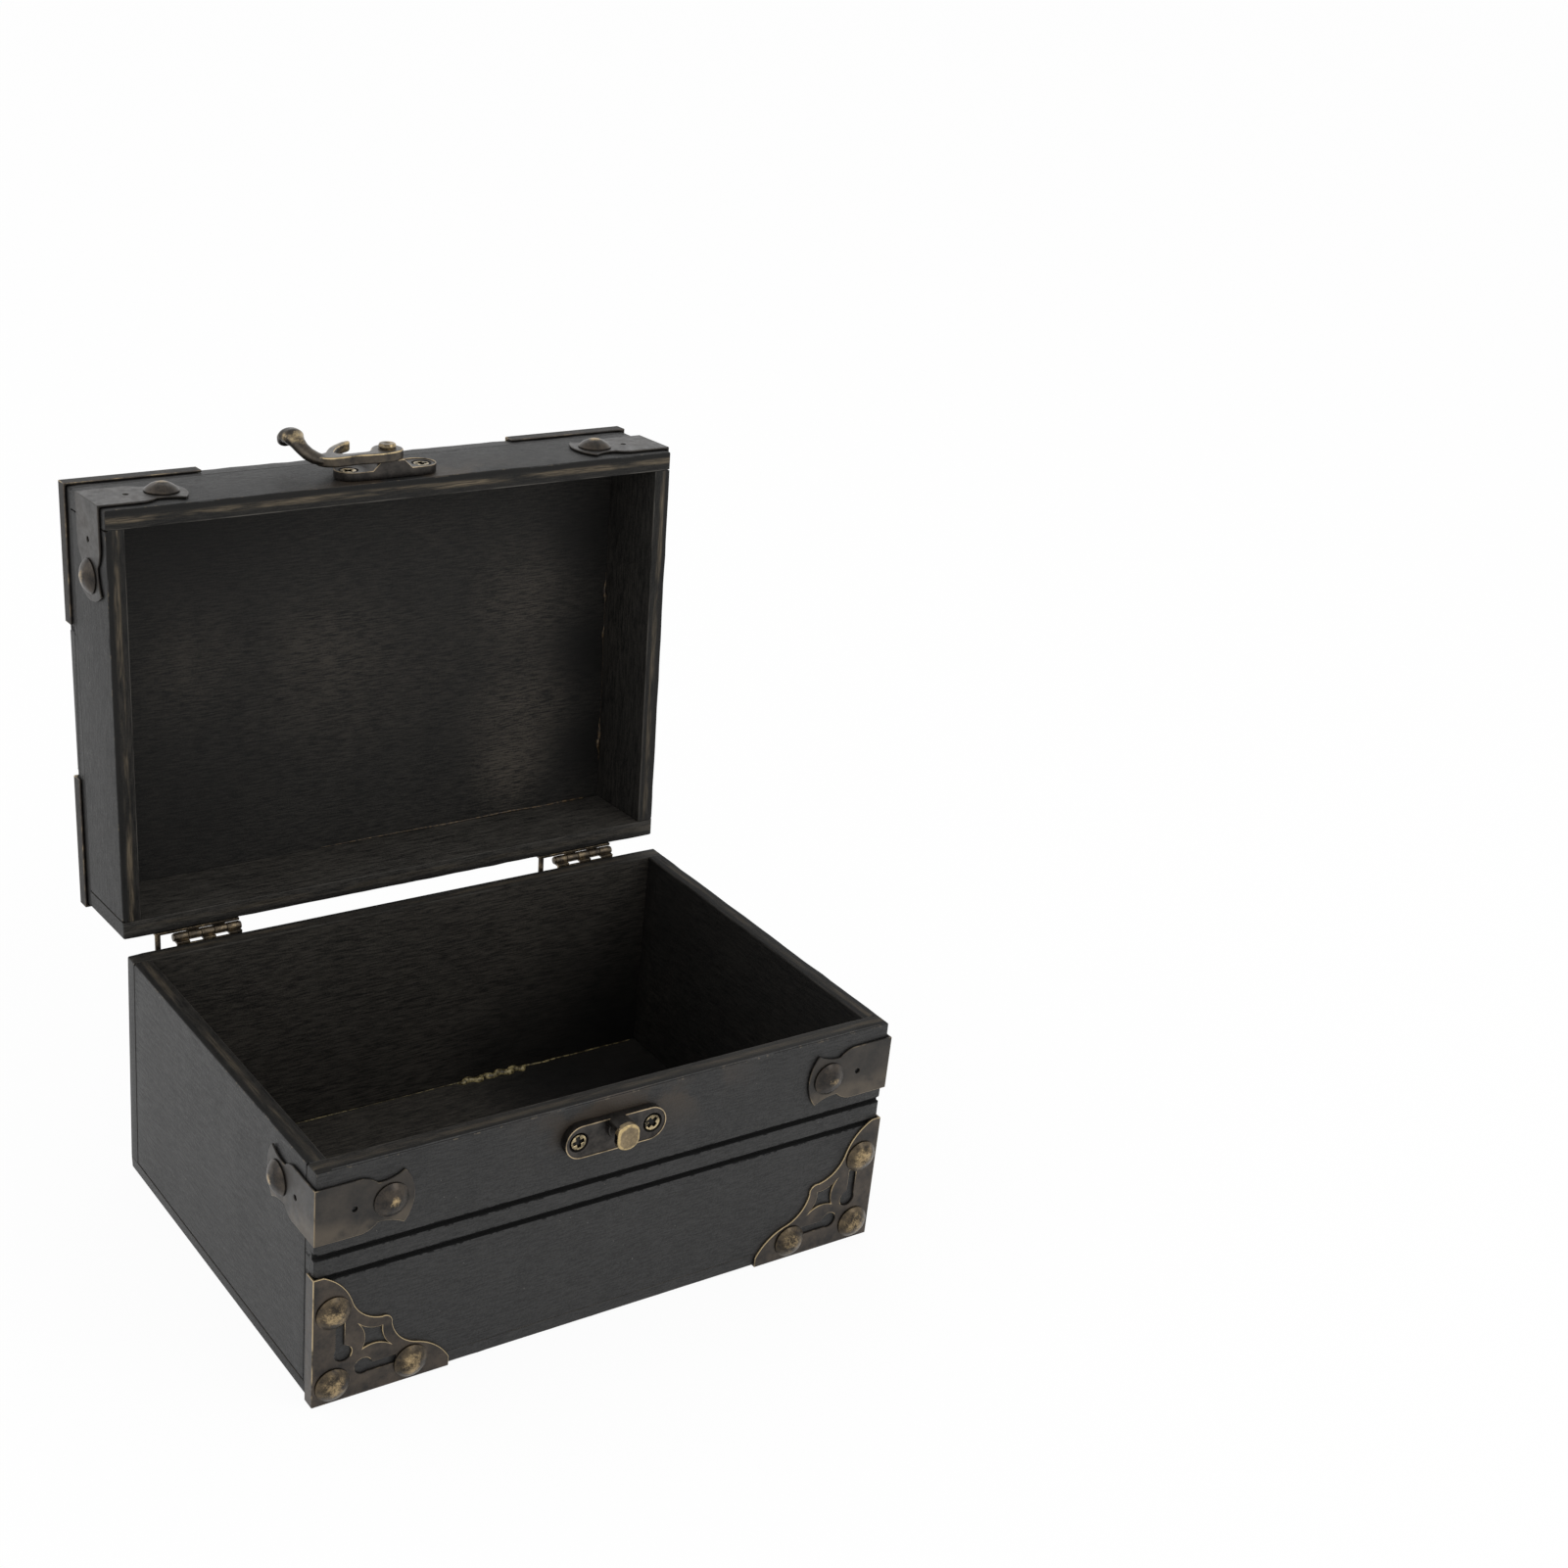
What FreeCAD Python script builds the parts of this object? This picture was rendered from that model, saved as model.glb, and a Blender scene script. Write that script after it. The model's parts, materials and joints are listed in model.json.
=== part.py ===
import FreeCAD, Part
import math
import os

os.makedirs("parts", exist_ok=True)

# Timber shell, in millimetres. X runs to the right, Y to the back, Z up from the underside.
width = 160.0
depth = 112.0
base_height = 64.0
lid_height = 28.4
wall = 5.0
bottom_panel = 3.9
top_panel = 5.7

# Saw-cut grooves that imitate separate boards, placed from the rim and from the edges of the top
front_groove_drop = (22.7, 28.8)
top_groove_inset = 33.8
top_groove_pair = 5.6
groove_width = 1.8
groove_depth = 1.4

# Pressed sheet trim: corner plates and the bands round the front corners
sheet = 0.6
plate_clear = 9.1
plate_end = 2.1
lip = 3.2
strap_height = 14.9
strap_shoulder = 11.2
strap_neck_u = 15.3
strap_neck_half = 5.3
strap_point = 22.0
strap_point_half = 7.2
strap_arm = 24.6
strap_pin_hole_u = 9.4
strap_pin_hole_r = 0.7
base_strap_drop = 11.5
lid_strap_rise = 10.0

# Domed nails that hold the trim
nail_head_r = 4.5
nail_head_height = 2.75
nail_rim = 0.25
nail_shank_r = 0.7
nail_shank_length = 4.2
nail_point = 1.2
plate_nail_edge = 4.6
plate_nail_share = 0.706
strap_nail_u = 18.5

# Hook latch, a little left of the middle of the front
latch_x = -2.7
latch_half_length = 14.05
latch_half_height = 4.55
latch_plate = 2.2
hasp_rise = 7.0
catch_drop = 9.1
pivot_rise = 5.8
post_drop = 13.2
bridge_top = 4.4
bridge_half_top = 3.2
bridge_half_foot = 5.5
boss_r = 3.0
boss_top = 3.0
hook_under = 3.4
hook_thickness = 2.0
hook_crank = 1.2
crank_start = 5.6
crank_end = 7.0
hook_eye_r = 4.0
rivet_r = 1.5
rivet_running = 0.05
rivet_head_r = 2.2
rivet_head_gap = 0.2
rivet_head_height = 1.2
post_r = 1.2
neck_rise = 1.4
knob_r = 3.5
knob_flats = 6.2
knob_gap = 0.3
knob_thickness = 1.9
knob_chamfer = 0.5
claw_gap = 0.3
claw_width = 1.9
claw_reach = 36.0
thumb_r = 3.0
thumb_x = -0.4
thumb_z = -24.4
thumb_out = 7.6
tail_r = 1.7
screw_spread = 10.3
screw_head_r = 2.2
screw_head_rim = 0.3
screw_head_depth = 1.5
screw_shank_r = 1.0
screw_length = 3.8
cross_length = 2.8
cross_width = 0.55
cross_depth = 0.5

# Butt hinges on the rear faces, each with a stop finger beside it
hinge_inset = 23.0
hinge_length = 18.0
hinge_knuckles = 5
knuckle_gap = 0.15
axis_back = 2.2
axis_up = 0.9
barrel_r = 1.2
pin_r = 0.6
pin_running = 0.05
pin_head_r = 1.0
pin_head = 0.4
leaf = 0.7
leaf_height = 10.0
curl = 0.75
leaf_shy = 0.3
pin_nail_head_r = 1.5
pin_nail_head = 0.7
pin_nail_r = 0.5
pin_nail_length = 3.4
pin_nail_spread = 5.6
pin_nail_up = 6.0
finger_offset = 13.5
finger_width = 1.4
finger_sheet = 0.7
finger_up = -0.3
finger_out = 3.6
finger_tab = 5.0
stop_gap = 0.03

# Pose in which the chest is stored: lid back on its stop, hook swung over to the left
lid_open = 93.0
hook_turn = 237.0

V = FreeCAD.Vector
left, front = -width / 2, -depth / 2
back = depth / 2
total_height = base_height + lid_height
under_top = total_height - top_panel
axis_y = back + axis_back
axis_z = base_height + axis_up
base_strap_z = base_height - base_strap_drop
lid_strap_z = base_height + lid_strap_rise
plate_arm = base_strap_z - strap_height / 2 - plate_clear - sheet
plate_nail_far = plate_nail_share * plate_arm
hasp_plate_z = base_height + hasp_rise
catch_plate_z = base_height - catch_drop
pivot_z = base_height + pivot_rise
hinge_x = width / 2 - hinge_inset
top_groove_y = depth / 2 - top_groove_inset
pivot = V(latch_x, front, pivot_z)
post_z = pivot_z - post_drop
hook_top = hook_under + hook_thickness


def box(x0, x1, y0, y1, z0, z1):
    return Part.makeBox(x1 - x0, y1 - y0, z1 - z0, V(x0, y0, z0))


def outline(start, moves):
    # A closed outline in the local XY plane; a two-point move is an arc through the first
    edges = []
    here = V(*start, 0)
    for move in moves:
        there = V(*move[-1], 0)
        if len(move) == 2:
            edges.append(Part.Arc(here, V(*move[0], 0), there).toShape())
        else:
            edges.append(Part.makeLine(here, there))
        here = there
    return Part.Face(Part.Wire(edges))


def turned(profile):
    # Solid of revolution about local Z from (radius, height) pairs; a two-point step is an arc
    edges = []
    here = V(profile[0][0], 0, profile[0][1])
    for step in profile[1:] + [profile[0]]:
        if len(step) == 3:
            middle = V(step[2][0], 0, step[2][1])
            there = V(step[0], 0, step[1])
            edges.append(Part.Arc(here, middle, there).toShape())
        else:
            there = V(step[0], 0, step[1])
            edges.append(Part.makeLine(here, there))
        here = there
    face = Part.Face(Part.Wire(edges))
    return face.revolve(V(0, 0, 0), V(0, 0, 1), 360)


def placed(shape, origin, x_axis, y_axis, z_axis):
    copy = shape.copy()
    turn = FreeCAD.Rotation(x_axis, y_axis, z_axis, "ZXY")
    copy.Placement = FreeCAD.Placement(origin, turn)
    return copy


def on_front(shape, x, z):
    # Local X to the right, local Y up, local Z out of the front face
    return placed(shape, V(x, front, z), V(1, 0, 0), V(0, 0, 1), V(0, -1, 0))


def on_top(shape, x, y):
    return placed(shape, V(x, y, total_height), V(1, 0, 0), V(0, 1, 0), V(0, 0, 1))


def on_rear(shape, x, z):
    return placed(shape, V(x, back, z), V(-1, 0, 0), V(0, 0, 1), V(0, 1, 0))


def swapped(shape):
    # From the front face to the left face, across the front left corner
    return shape.mirror(V(left, front, 0), V(1, -1, 0))


def across(shape):
    return shape.mirror(V(0, 0, 0), V(1, 0, 0))


def behind(shape):
    return shape.mirror(V(0, 0, 0), V(0, 1, 0))


def cut_all(shape, tools):
    for tool in tools:
        if shape.BoundBox.intersect(tool.BoundBox):
            shape = shape.cut(tool)
    return shape


def cap(r, low, rise):
    # Profile step over a spherical cap that ends on the axis
    sphere = (r ** 2 + rise ** 2) / (2 * rise)
    middle = low + rise - sphere + math.sqrt(sphere ** 2 - (r / 2) ** 2)
    return (0, low + rise, (r / 2, middle))


# Domed nail: thin rim, spherical cap, pointed shank
dome_nail = turned([
    (0, -nail_shank_length),
    (nail_shank_r, nail_point - nail_shank_length),
    (nail_shank_r, sheet),
    (nail_head_r, sheet),
    (nail_head_r, sheet + nail_rim),
    cap(nail_head_r, sheet + nail_rim, nail_head_height - nail_rim),
])

# Corner plate: two scrolled arms, two keyhole slots, a pierced star and two folded lips.
# The scrolls and holes are drawn in shares of the arm's length.
def of_arm(*points):
    return [(plate_arm * u, plate_arm * v) for u, v in points]


plate_outline = outline((-sheet, -sheet), [
    [(plate_arm, -sheet)],
    [(plate_arm, plate_end)],
    of_arm((0.898, 0.189), (0.746, 0.271)),
    of_arm((0.627, 0.350), (0.562, 0.486)),
    of_arm((0.545, 0.545), (0.486, 0.562)),
    of_arm((0.350, 0.627), (0.271, 0.746)),
    [*of_arm((0.189, 0.898)), (plate_end, plate_arm)],
    [(-sheet, plate_arm)],
    [(-sheet, -sheet)],
])
star = outline(*of_arm((0.350, 0.350)), [
    of_arm((0.444, 0.366), (0.540, 0.331)),
    of_arm((0.498, 0.404), (0.489, 0.489)),
    of_arm((0.404, 0.498), (0.331, 0.540)),
    of_arm((0.366, 0.444), (0.350, 0.350)),
])
keyhole = outline(*of_arm((0.150, 0.599)), [
    of_arm((0.150, 0.384)),
    of_arm((0.232, 0.299), (0.212, 0.418)),
    of_arm((0.212, 0.599)),
    of_arm((0.150, 0.599)),
])
up = V(0, 0, sheet)
corner_plate = plate_outline.extrude(up)
lip_run = box(-sheet, plate_arm, -sheet, 0, -lip, 0)
diagonal = V(1, -1, 0)
corner_plate = corner_plate.fuse([lip_run, lip_run.mirror(V(0, 0, 0), diagonal)]).removeSplitter()
for opening in (star, keyhole, keyhole.mirror(V(0, 0, 0), diagonal)):
    corner_plate = corner_plate.cut(opening.extrude(up))
plate_nail_spots = (
    (plate_nail_edge, plate_nail_edge),
    (plate_nail_far, plate_nail_edge),
    (plate_nail_edge, plate_nail_far),
)

# Corner plates on the base: let in under the front edge so that the underside stays flat
base_plate_nails = [on_front(dome_nail, left + u, sheet + v) for u, v in plate_nail_spots]
base_plate_left = cut_all(on_front(corner_plate, left, sheet), base_plate_nails)
base_plate_right = across(base_plate_left)
base_plate_nails += [across(nail) for nail in base_plate_nails]
rebate = box(left, left + plate_arm, front, front + lip, 0, sheet)

# Corner plates on the lid, one at each corner of the top
lid_plate_nails = [on_top(dome_nail, left + u, front + v) for u, v in plate_nail_spots]
lid_plate_front_left = cut_all(on_top(corner_plate, left, front), lid_plate_nails)
lid_plate_front_right = across(lid_plate_front_left)
lid_plate_back_left = behind(lid_plate_front_left)
lid_plate_back_right = across(lid_plate_back_left)
lid_plate_nails += [across(nail) for nail in lid_plate_nails]
lid_plate_nails += [behind(nail) for nail in lid_plate_nails]

# Band round a front corner: two waisted arms with fan-shaped ends
half = strap_height / 2
ease_u = strap_shoulder + 0.6 * (strap_neck_u - strap_shoulder)
ease_half = strap_neck_half + 0.6 * (half - strap_neck_half)
flare_u = (strap_neck_u + strap_point) / 2
flare_half = strap_neck_half + 0.2 * (strap_point_half - strap_neck_half)
arm = outline((-sheet, -half), [
    [(strap_shoulder, -half)],
    [(ease_u, -ease_half), (strap_neck_u, -strap_neck_half)],
    [(flare_u, -flare_half), (strap_point, -strap_point_half)],
    [(strap_arm, 0), (strap_point, strap_point_half)],
    [(flare_u, flare_half), (strap_neck_u, strap_neck_half)],
    [(ease_u, ease_half), (strap_shoulder, half)],
    [(-sheet, half)],
    [(-sheet, -half)],
]).extrude(up)
arm = arm.cut(Part.makeCylinder(strap_pin_hole_r, sheet, V(strap_pin_hole_u, 0, 0)))


def corner_band(z):
    nails = [on_front(dome_nail, left + strap_nail_u, z)]
    nails.append(swapped(nails[0]))
    front_arm = on_front(arm, left, z)
    band = front_arm.fuse(swapped(front_arm)).removeSplitter()
    return cut_all(band, nails), nails


base_strap_left, base_strap_nails = corner_band(base_strap_z)
lid_strap_left, lid_strap_nails = corner_band(lid_strap_z)
base_strap_right = across(base_strap_left)
lid_strap_right = across(lid_strap_left)
base_strap_nails += [across(nail) for nail in base_strap_nails]
lid_strap_nails += [across(nail) for nail in lid_strap_nails]

# Countersunk cross-head screws of the latch
screw_blank = turned([
    (0, -screw_length),
    (screw_shank_r, screw_shank_r - screw_length),
    (screw_shank_r, latch_plate - screw_head_depth),
    (screw_head_r, latch_plate - screw_head_rim),
    (screw_head_r, latch_plate),
    (0, latch_plate),
])
cross = Part.makeBox(cross_length, cross_width, cross_depth, V(-cross_length / 2, -cross_width / 2, 0))
cross = cross.fuse(cross.copy().rotate(V(0, 0, 0), V(0, 0, 1), 90))
cross.translate(V(0, 0, latch_plate - cross_depth))
screw = screw_blank.cut(cross)

# Latch plates: rounded bars, the upper one bridged under the hook, the lower one bossed at the post
bar_run = latch_half_length - latch_half_height
latch_bar = outline((-bar_run, -latch_half_height), [
    [(bar_run, -latch_half_height)],
    [(latch_half_length, 0), (bar_run, latch_half_height)],
    [(-bar_run, latch_half_height)],
    [(-latch_half_length, 0), (-bar_run, -latch_half_height)],
]).extrude(V(0, 0, latch_plate))
bridge = Part.Face(Part.makePolygon([
    V(-bridge_half_foot, -latch_half_height, latch_plate),
    V(-bridge_half_top, -latch_half_height, bridge_top),
    V(bridge_half_top, -latch_half_height, bridge_top),
    V(bridge_half_foot, -latch_half_height, latch_plate),
    V(-bridge_half_foot, -latch_half_height, latch_plate),
])).extrude(V(0, 2 * latch_half_height, 0))
hasp_screws = [on_front(screw, latch_x + side * screw_spread, hasp_plate_z) for side in (-1, 1)]
catch_screws = [on_front(screw, latch_x + side * screw_spread, catch_plate_z) for side in (-1, 1)]
screw_seats = [screw_blank.translated(V(side * screw_spread, 0, 0)) for side in (-1, 1)]

rivet_head_under = hook_top + hook_crank + rivet_head_gap
rivet_blank = turned([
    (0, 0),
    (rivet_r, 0),
    (rivet_r, rivet_head_under),
    (rivet_head_r, rivet_head_under),
    cap(rivet_head_r, rivet_head_under, rivet_head_height),
])
hasp_rivet = on_front(rivet_blank, latch_x, pivot_z)
hasp_plate = on_front(cut_all(latch_bar.fuse(bridge).removeSplitter(), screw_seats), latch_x, hasp_plate_z)
hasp_plate = hasp_plate.cut(hasp_rivet)

knob_under = hook_top + knob_gap
knob_top = knob_under + knob_thickness
flat = knob_flats / 2
knob_cap = turned([
    (0, knob_under),
    (knob_r, knob_under),
    (knob_r, knob_top - knob_chamfer),
    (knob_r - knob_chamfer, knob_top),
    (0, knob_top),
])
knob_cap = knob_cap.common(box(-flat, flat, -knob_r, knob_r, knob_under, knob_top))
post = Part.makeCylinder(post_r, knob_under, V(0, neck_rise, 0))
catch_knob = on_front(knob_cap.fuse(post).removeSplitter(), latch_x, post_z)
boss = Part.makeCylinder(boss_r, boss_top, V(0, post_z - catch_plate_z, 0))
catch_plate = on_front(cut_all(latch_bar.fuse(boss).removeSplitter(), screw_seats), latch_x, catch_plate_z)
catch_plate = catch_plate.cut(catch_knob)

# Hook: flat eye, curved arm and a claw that runs concentric with the rivet under the post
claw_in = post_drop - neck_rise + post_r + claw_gap
claw_out = claw_in + claw_width
tip = math.radians(claw_reach)
tip_in = (-claw_in * math.sin(tip), -claw_in * math.cos(tip))
tip_out = (-claw_out * math.sin(tip), -claw_out * math.cos(tip))
tip_mid_r = claw_in + claw_width / 2
tip_nose = math.radians(claw_reach + 3)
tip_mid = (-tip_mid_r * math.sin(tip_nose), -tip_mid_r * math.cos(tip_nose))
root_out_x = 3.7
root_in_x = 1.6
root_out = (root_out_x, -math.sqrt(claw_out ** 2 - root_out_x ** 2))
root_in = (root_in_x, -math.sqrt(claw_in ** 2 - root_in_x ** 2))
hook_flat = outline((3.2, 2.4), [
    [(7.5, -2.6), (9.15, -8.9)],
    [(8.3, -14.2), (5.6, -19.6)],
    [(2.9, -18.6)],
    [root_out],
    [(0, -claw_out), tip_out],
    [tip_mid, tip_in],
    [(0, -claw_in), root_in],
    [(2.6, -13.5), (3.3, -12.3)],
    [(5.6, -8.9), (5.3, -5.6)],
    [(4.0, -4.1), (1.9, -3.5)],
    [(3.2, 2.4)],
])
thickness = V(0, 0, hook_thickness)
flat_hook = hook_flat.extrude(thickness).fuse(Part.makeCylinder(hook_eye_r, hook_thickness))
# The eye lies on the bridge; below it the arm is cranked back towards the boards
span = 2 * (claw_out + hook_eye_r)
raised = flat_hook.common(box(-span, span, -crank_end, span, 0, hook_thickness))
lowered = flat_hook.common(box(-span, span, -span, -crank_start, 0, hook_thickness))
raised.translate(V(0, 0, hook_under + hook_crank))
lowered.translate(V(0, 0, hook_under))
hook = raised.fuse(lowered)
tail_from = V(4.5, -18.4, hook_under + tail_r)
thumb = V(thumb_x, thumb_z, thumb_out)
tail_run = thumb.sub(tail_from)
tail = Part.makeCone(tail_r, tail_r * 1.25, tail_run.Length, tail_from, tail_run)
tail_heel = Part.makeSphere(tail_r, tail_from)
thumb_ball = Part.makeSphere(thumb_r, thumb)
hook = hook.fuse([tail, tail_heel, thumb_ball]).removeSplitter()
rivet_hole = Part.makeCylinder(rivet_r + rivet_running, 3 * hook_thickness, V(0, 0, hook_under - hook_thickness))
hook = on_front(hook.cut(rivet_hole), latch_x, pivot_z)

# Hinges: leaves on the rear faces, knuckles taking turns along one pin
knuckle = hinge_length / hinge_knuckles


def knuckle_barrel(index, side, bore):
    # Tube and curl of one knuckle, in axis coordinates; side is -1 below the axis, 1 above
    x0 = -hinge_length / 2 + index * knuckle
    length = knuckle
    if index > 0:
        x0 += knuckle_gap / 2
        length -= knuckle_gap / 2
    if index < hinge_knuckles - 1:
        length -= knuckle_gap / 2
    tube = Part.makeCylinder(barrel_r, length, V(x0, 0, 0), V(1, 0, 0))
    low, high = sorted((side * barrel_r, side * (barrel_r - curl)))
    foot = box(x0, x0 + length, -axis_back, 0, low, high)
    return tube.fuse(foot).cut(Part.makeCylinder(bore, length, V(x0, 0, 0), V(1, 0, 0)))


half_hinge = hinge_length / 2
leaf_face = leaf - axis_back
base_leaf = box(-half_hinge, half_hinge, -axis_back, leaf_face, -leaf_height, curl - barrel_r - knuckle_gap)
base_leaf = base_leaf.cut(box(-half_hinge, half_hinge, -axis_back, 0, -barrel_r, barrel_r))
for index in range(0, hinge_knuckles, 2):
    base_leaf = base_leaf.fuse(knuckle_barrel(index, -1, pin_r))
lid_leaf = box(-half_hinge, half_hinge, -axis_back, leaf_face, -leaf_shy, leaf_height)
for index in range(1, hinge_knuckles, 2):
    lid_leaf = lid_leaf.fuse(knuckle_barrel(index, 1, pin_r + pin_running))

# Stop finger: reaches round behind the axis and meets the base's rear face when the lid is back
open_turn = math.radians(lid_open)
finger_drop = (axis_back - stop_gap + finger_out * math.cos(open_turn)) / math.sin(open_turn)
finger_right = finger_width / 2 - finger_offset
finger_left = finger_right - finger_width
finger_tab_box = box(finger_left, -half_hinge, -axis_back, leaf_face, finger_up, finger_up + finger_tab)
finger_arm = box(finger_left, finger_right, -axis_back, finger_out, finger_up, finger_up + finger_sheet)
finger_leg = box(finger_left, finger_right, finger_out - finger_sheet, finger_out, -finger_drop, finger_up)
lid_leaf = lid_leaf.fuse([finger_tab_box, finger_arm, finger_leg]).removeSplitter()
base_leaf = base_leaf.removeSplitter()

hinge_pin = Part.makeCylinder(pin_r, hinge_length, V(-half_hinge, 0, 0), V(1, 0, 0))
for end in (-1, 1):
    head = Part.makeCylinder(pin_head_r, pin_head, V(end * half_hinge, 0, 0), V(end, 0, 0))
    hinge_pin = hinge_pin.fuse(head)
hinge_pin = hinge_pin.removeSplitter()

pin_nail = turned([
    (0, -pin_nail_length),
    (pin_nail_r, pin_nail_r * 2 - pin_nail_length),
    (pin_nail_r, leaf),
    (pin_nail_head_r, leaf),
    cap(pin_nail_head_r, leaf, pin_nail_head),
])
hinge_base_nails = []
hinge_lid_nails = []
hinge_nodes = {}
for name, x in (("left", -hinge_x), ("right", hinge_x)):
    spot = V(x, axis_y, axis_z)
    below = [on_rear(pin_nail, x + s * pin_nail_spread, axis_z - pin_nail_up) for s in (-1, 1)]
    above = [on_rear(pin_nail, x + s * pin_nail_spread, axis_z + pin_nail_up) for s in (-1, 1)]
    hinge_nodes["hinge_base_leaf_" + name] = cut_all(base_leaf.translated(spot), below)
    hinge_nodes["hinge_lid_leaf_" + name] = cut_all(lid_leaf.translated(spot), above)
    hinge_nodes["hinge_pin_" + name] = hinge_pin.translated(spot)
    hinge_base_nails += below
    hinge_lid_nails += above

# Boards of the base and the lid, drilled where the fasteners go in
base_bores = base_plate_nails + base_strap_nails + hinge_base_nails
base_bores += [on_front(screw_blank, latch_x + side * screw_spread, catch_plate_z) for side in (-1, 1)]
lid_bores = lid_plate_nails + lid_strap_nails + hinge_lid_nails
lid_bores += [on_front(screw_blank, latch_x + side * screw_spread, hasp_plate_z) for side in (-1, 1)]

base_bottom = box(left, -left, front, back, 0, bottom_panel).cut(rebate).cut(across(rebate))
base_front = box(left, -left, front, front + wall, bottom_panel, base_height)
for drop in front_groove_drop:
    low = base_height - drop - groove_width / 2
    base_front = base_front.cut(box(left, -left, front, front + groove_depth, low, low + groove_width))
base_back = box(left, -left, back - wall, back, bottom_panel, base_height)
base_left = box(left, left + wall, front + wall, back - wall, bottom_panel, base_height)

lid_top = box(left, -left, front, back, under_top, total_height)
for side in (-1, 1):
    for step in (-1, 1):
        y = side * top_groove_y + step * top_groove_pair / 2
        low = y - groove_width / 2
        floor = total_height - groove_depth
        lid_top = lid_top.cut(box(left, -left, low, low + groove_width, floor, total_height))
lid_front = box(left, -left, front, front + wall, base_height, under_top)
lid_back = box(left, -left, back - wall, back, base_height, under_top)
lid_left = box(left, left + wall, front + wall, back - wall, base_height, under_top)

base_nodes = {
    "base_bottom": base_bottom,
    "base_front": cut_all(base_front, base_bores),
    "base_back": cut_all(base_back, base_bores),
    "base_left": cut_all(base_left, base_bores),
    "base_right": cut_all(across(base_left), base_bores),
    "base_strap_left": base_strap_left,
    "base_strap_right": base_strap_right,
    "base_strap_nails": Part.makeCompound(base_strap_nails),
    "base_corner_plate_left": base_plate_left,
    "base_corner_plate_right": base_plate_right,
    "base_corner_nails": Part.makeCompound(base_plate_nails),
    "catch_plate": catch_plate,
    "catch_knob": catch_knob,
    "catch_screws": Part.makeCompound(catch_screws),
    "hinge_base_nails": Part.makeCompound(hinge_base_nails),
}
lid_nodes = {
    "lid_top": cut_all(lid_top, lid_bores),
    "lid_front": cut_all(lid_front, lid_bores),
    "lid_back": cut_all(lid_back, lid_bores),
    "lid_left": cut_all(lid_left, lid_bores),
    "lid_right": cut_all(across(lid_left), lid_bores),
    "lid_strap_left": lid_strap_left,
    "lid_strap_right": lid_strap_right,
    "lid_strap_nails": Part.makeCompound(lid_strap_nails),
    "lid_corner_plate_front_left": lid_plate_front_left,
    "lid_corner_plate_front_right": lid_plate_front_right,
    "lid_corner_plate_back_left": lid_plate_back_left,
    "lid_corner_plate_back_right": lid_plate_back_right,
    "lid_corner_nails": Part.makeCompound(lid_plate_nails),
    "hasp_plate": hasp_plate,
    "hasp_screws": Part.makeCompound(hasp_screws),
    "hasp_rivet": hasp_rivet,
    "hinge_lid_nails": Part.makeCompound(hinge_lid_nails),
}
for name, shape in hinge_nodes.items():
    nodes = lid_nodes if "lid_leaf" in name else base_nodes
    nodes[name] = shape

# Stored pose: the hook turns about its rivet, then the lid and all it carries swing back
hook.rotate(pivot, V(0, -1, 0), hook_turn)
lid_nodes["hasp_hook"] = hook
for name, shape in base_nodes.items():
    shape.exportStep("parts/" + name + ".step")
for name, shape in lid_nodes.items():
    shape.rotate(V(0, axis_y, axis_z), V(1, 0, 0), -lid_open)
    shape.exportStep("parts/" + name + ".step")
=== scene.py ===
import json
import math

import bpy
from mathutils import Matrix, Vector


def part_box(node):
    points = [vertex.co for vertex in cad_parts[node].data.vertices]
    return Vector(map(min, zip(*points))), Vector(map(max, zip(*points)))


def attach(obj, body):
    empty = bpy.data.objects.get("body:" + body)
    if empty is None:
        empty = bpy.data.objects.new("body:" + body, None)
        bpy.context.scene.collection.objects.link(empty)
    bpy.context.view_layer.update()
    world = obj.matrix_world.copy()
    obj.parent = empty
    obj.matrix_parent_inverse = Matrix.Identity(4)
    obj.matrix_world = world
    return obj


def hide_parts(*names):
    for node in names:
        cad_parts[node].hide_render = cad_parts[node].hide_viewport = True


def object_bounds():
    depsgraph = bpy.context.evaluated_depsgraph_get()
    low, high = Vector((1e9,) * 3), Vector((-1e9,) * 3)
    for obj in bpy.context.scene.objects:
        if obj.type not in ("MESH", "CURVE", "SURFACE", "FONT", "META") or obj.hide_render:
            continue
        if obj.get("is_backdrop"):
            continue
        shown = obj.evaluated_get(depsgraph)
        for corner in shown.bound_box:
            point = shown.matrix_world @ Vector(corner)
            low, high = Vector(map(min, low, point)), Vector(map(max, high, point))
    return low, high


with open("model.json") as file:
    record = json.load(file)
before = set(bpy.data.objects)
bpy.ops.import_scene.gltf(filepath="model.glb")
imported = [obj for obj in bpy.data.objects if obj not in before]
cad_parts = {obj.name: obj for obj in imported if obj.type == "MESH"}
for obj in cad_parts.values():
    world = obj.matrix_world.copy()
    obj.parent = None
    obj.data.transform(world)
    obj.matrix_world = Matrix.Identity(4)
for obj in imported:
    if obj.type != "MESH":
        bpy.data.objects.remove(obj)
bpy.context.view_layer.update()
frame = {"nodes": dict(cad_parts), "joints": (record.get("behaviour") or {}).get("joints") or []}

# Base box: four walls on a bottom board, all of thin ply glued as butt joints, the front and back lapping the
# sides, whose joints stand a hair open. Stained nearly black to a satin sheen; two saw cuts cross the front,
# and the rims are rubbed. Painted shade blackens the saw cuts and darkens the rims and the corner by the
# right wall; the inside of each board is lightened or darkened, and the left side given more sheen, as
# painted light and shade.
# Flecks of grain in a metre, along each axis, for boards that run along X or Y
ALONG_X, ALONG_Y = (420, 2900, 2900), (2900, 420, 2900)
STAIN_BLACK = (0.0034, 0.0033, 0.0032, 1)
STAIN_GREY = (0.0175, 0.0171, 0.0165, 1)
BASE_INSIDE = ((0.0050, 0.0046, 0.0041, 1), (0.0330, 0.0295, 0.0245, 1))
THIN_STAIN = (0.0600, 0.0510, 0.0410, 1)
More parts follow.
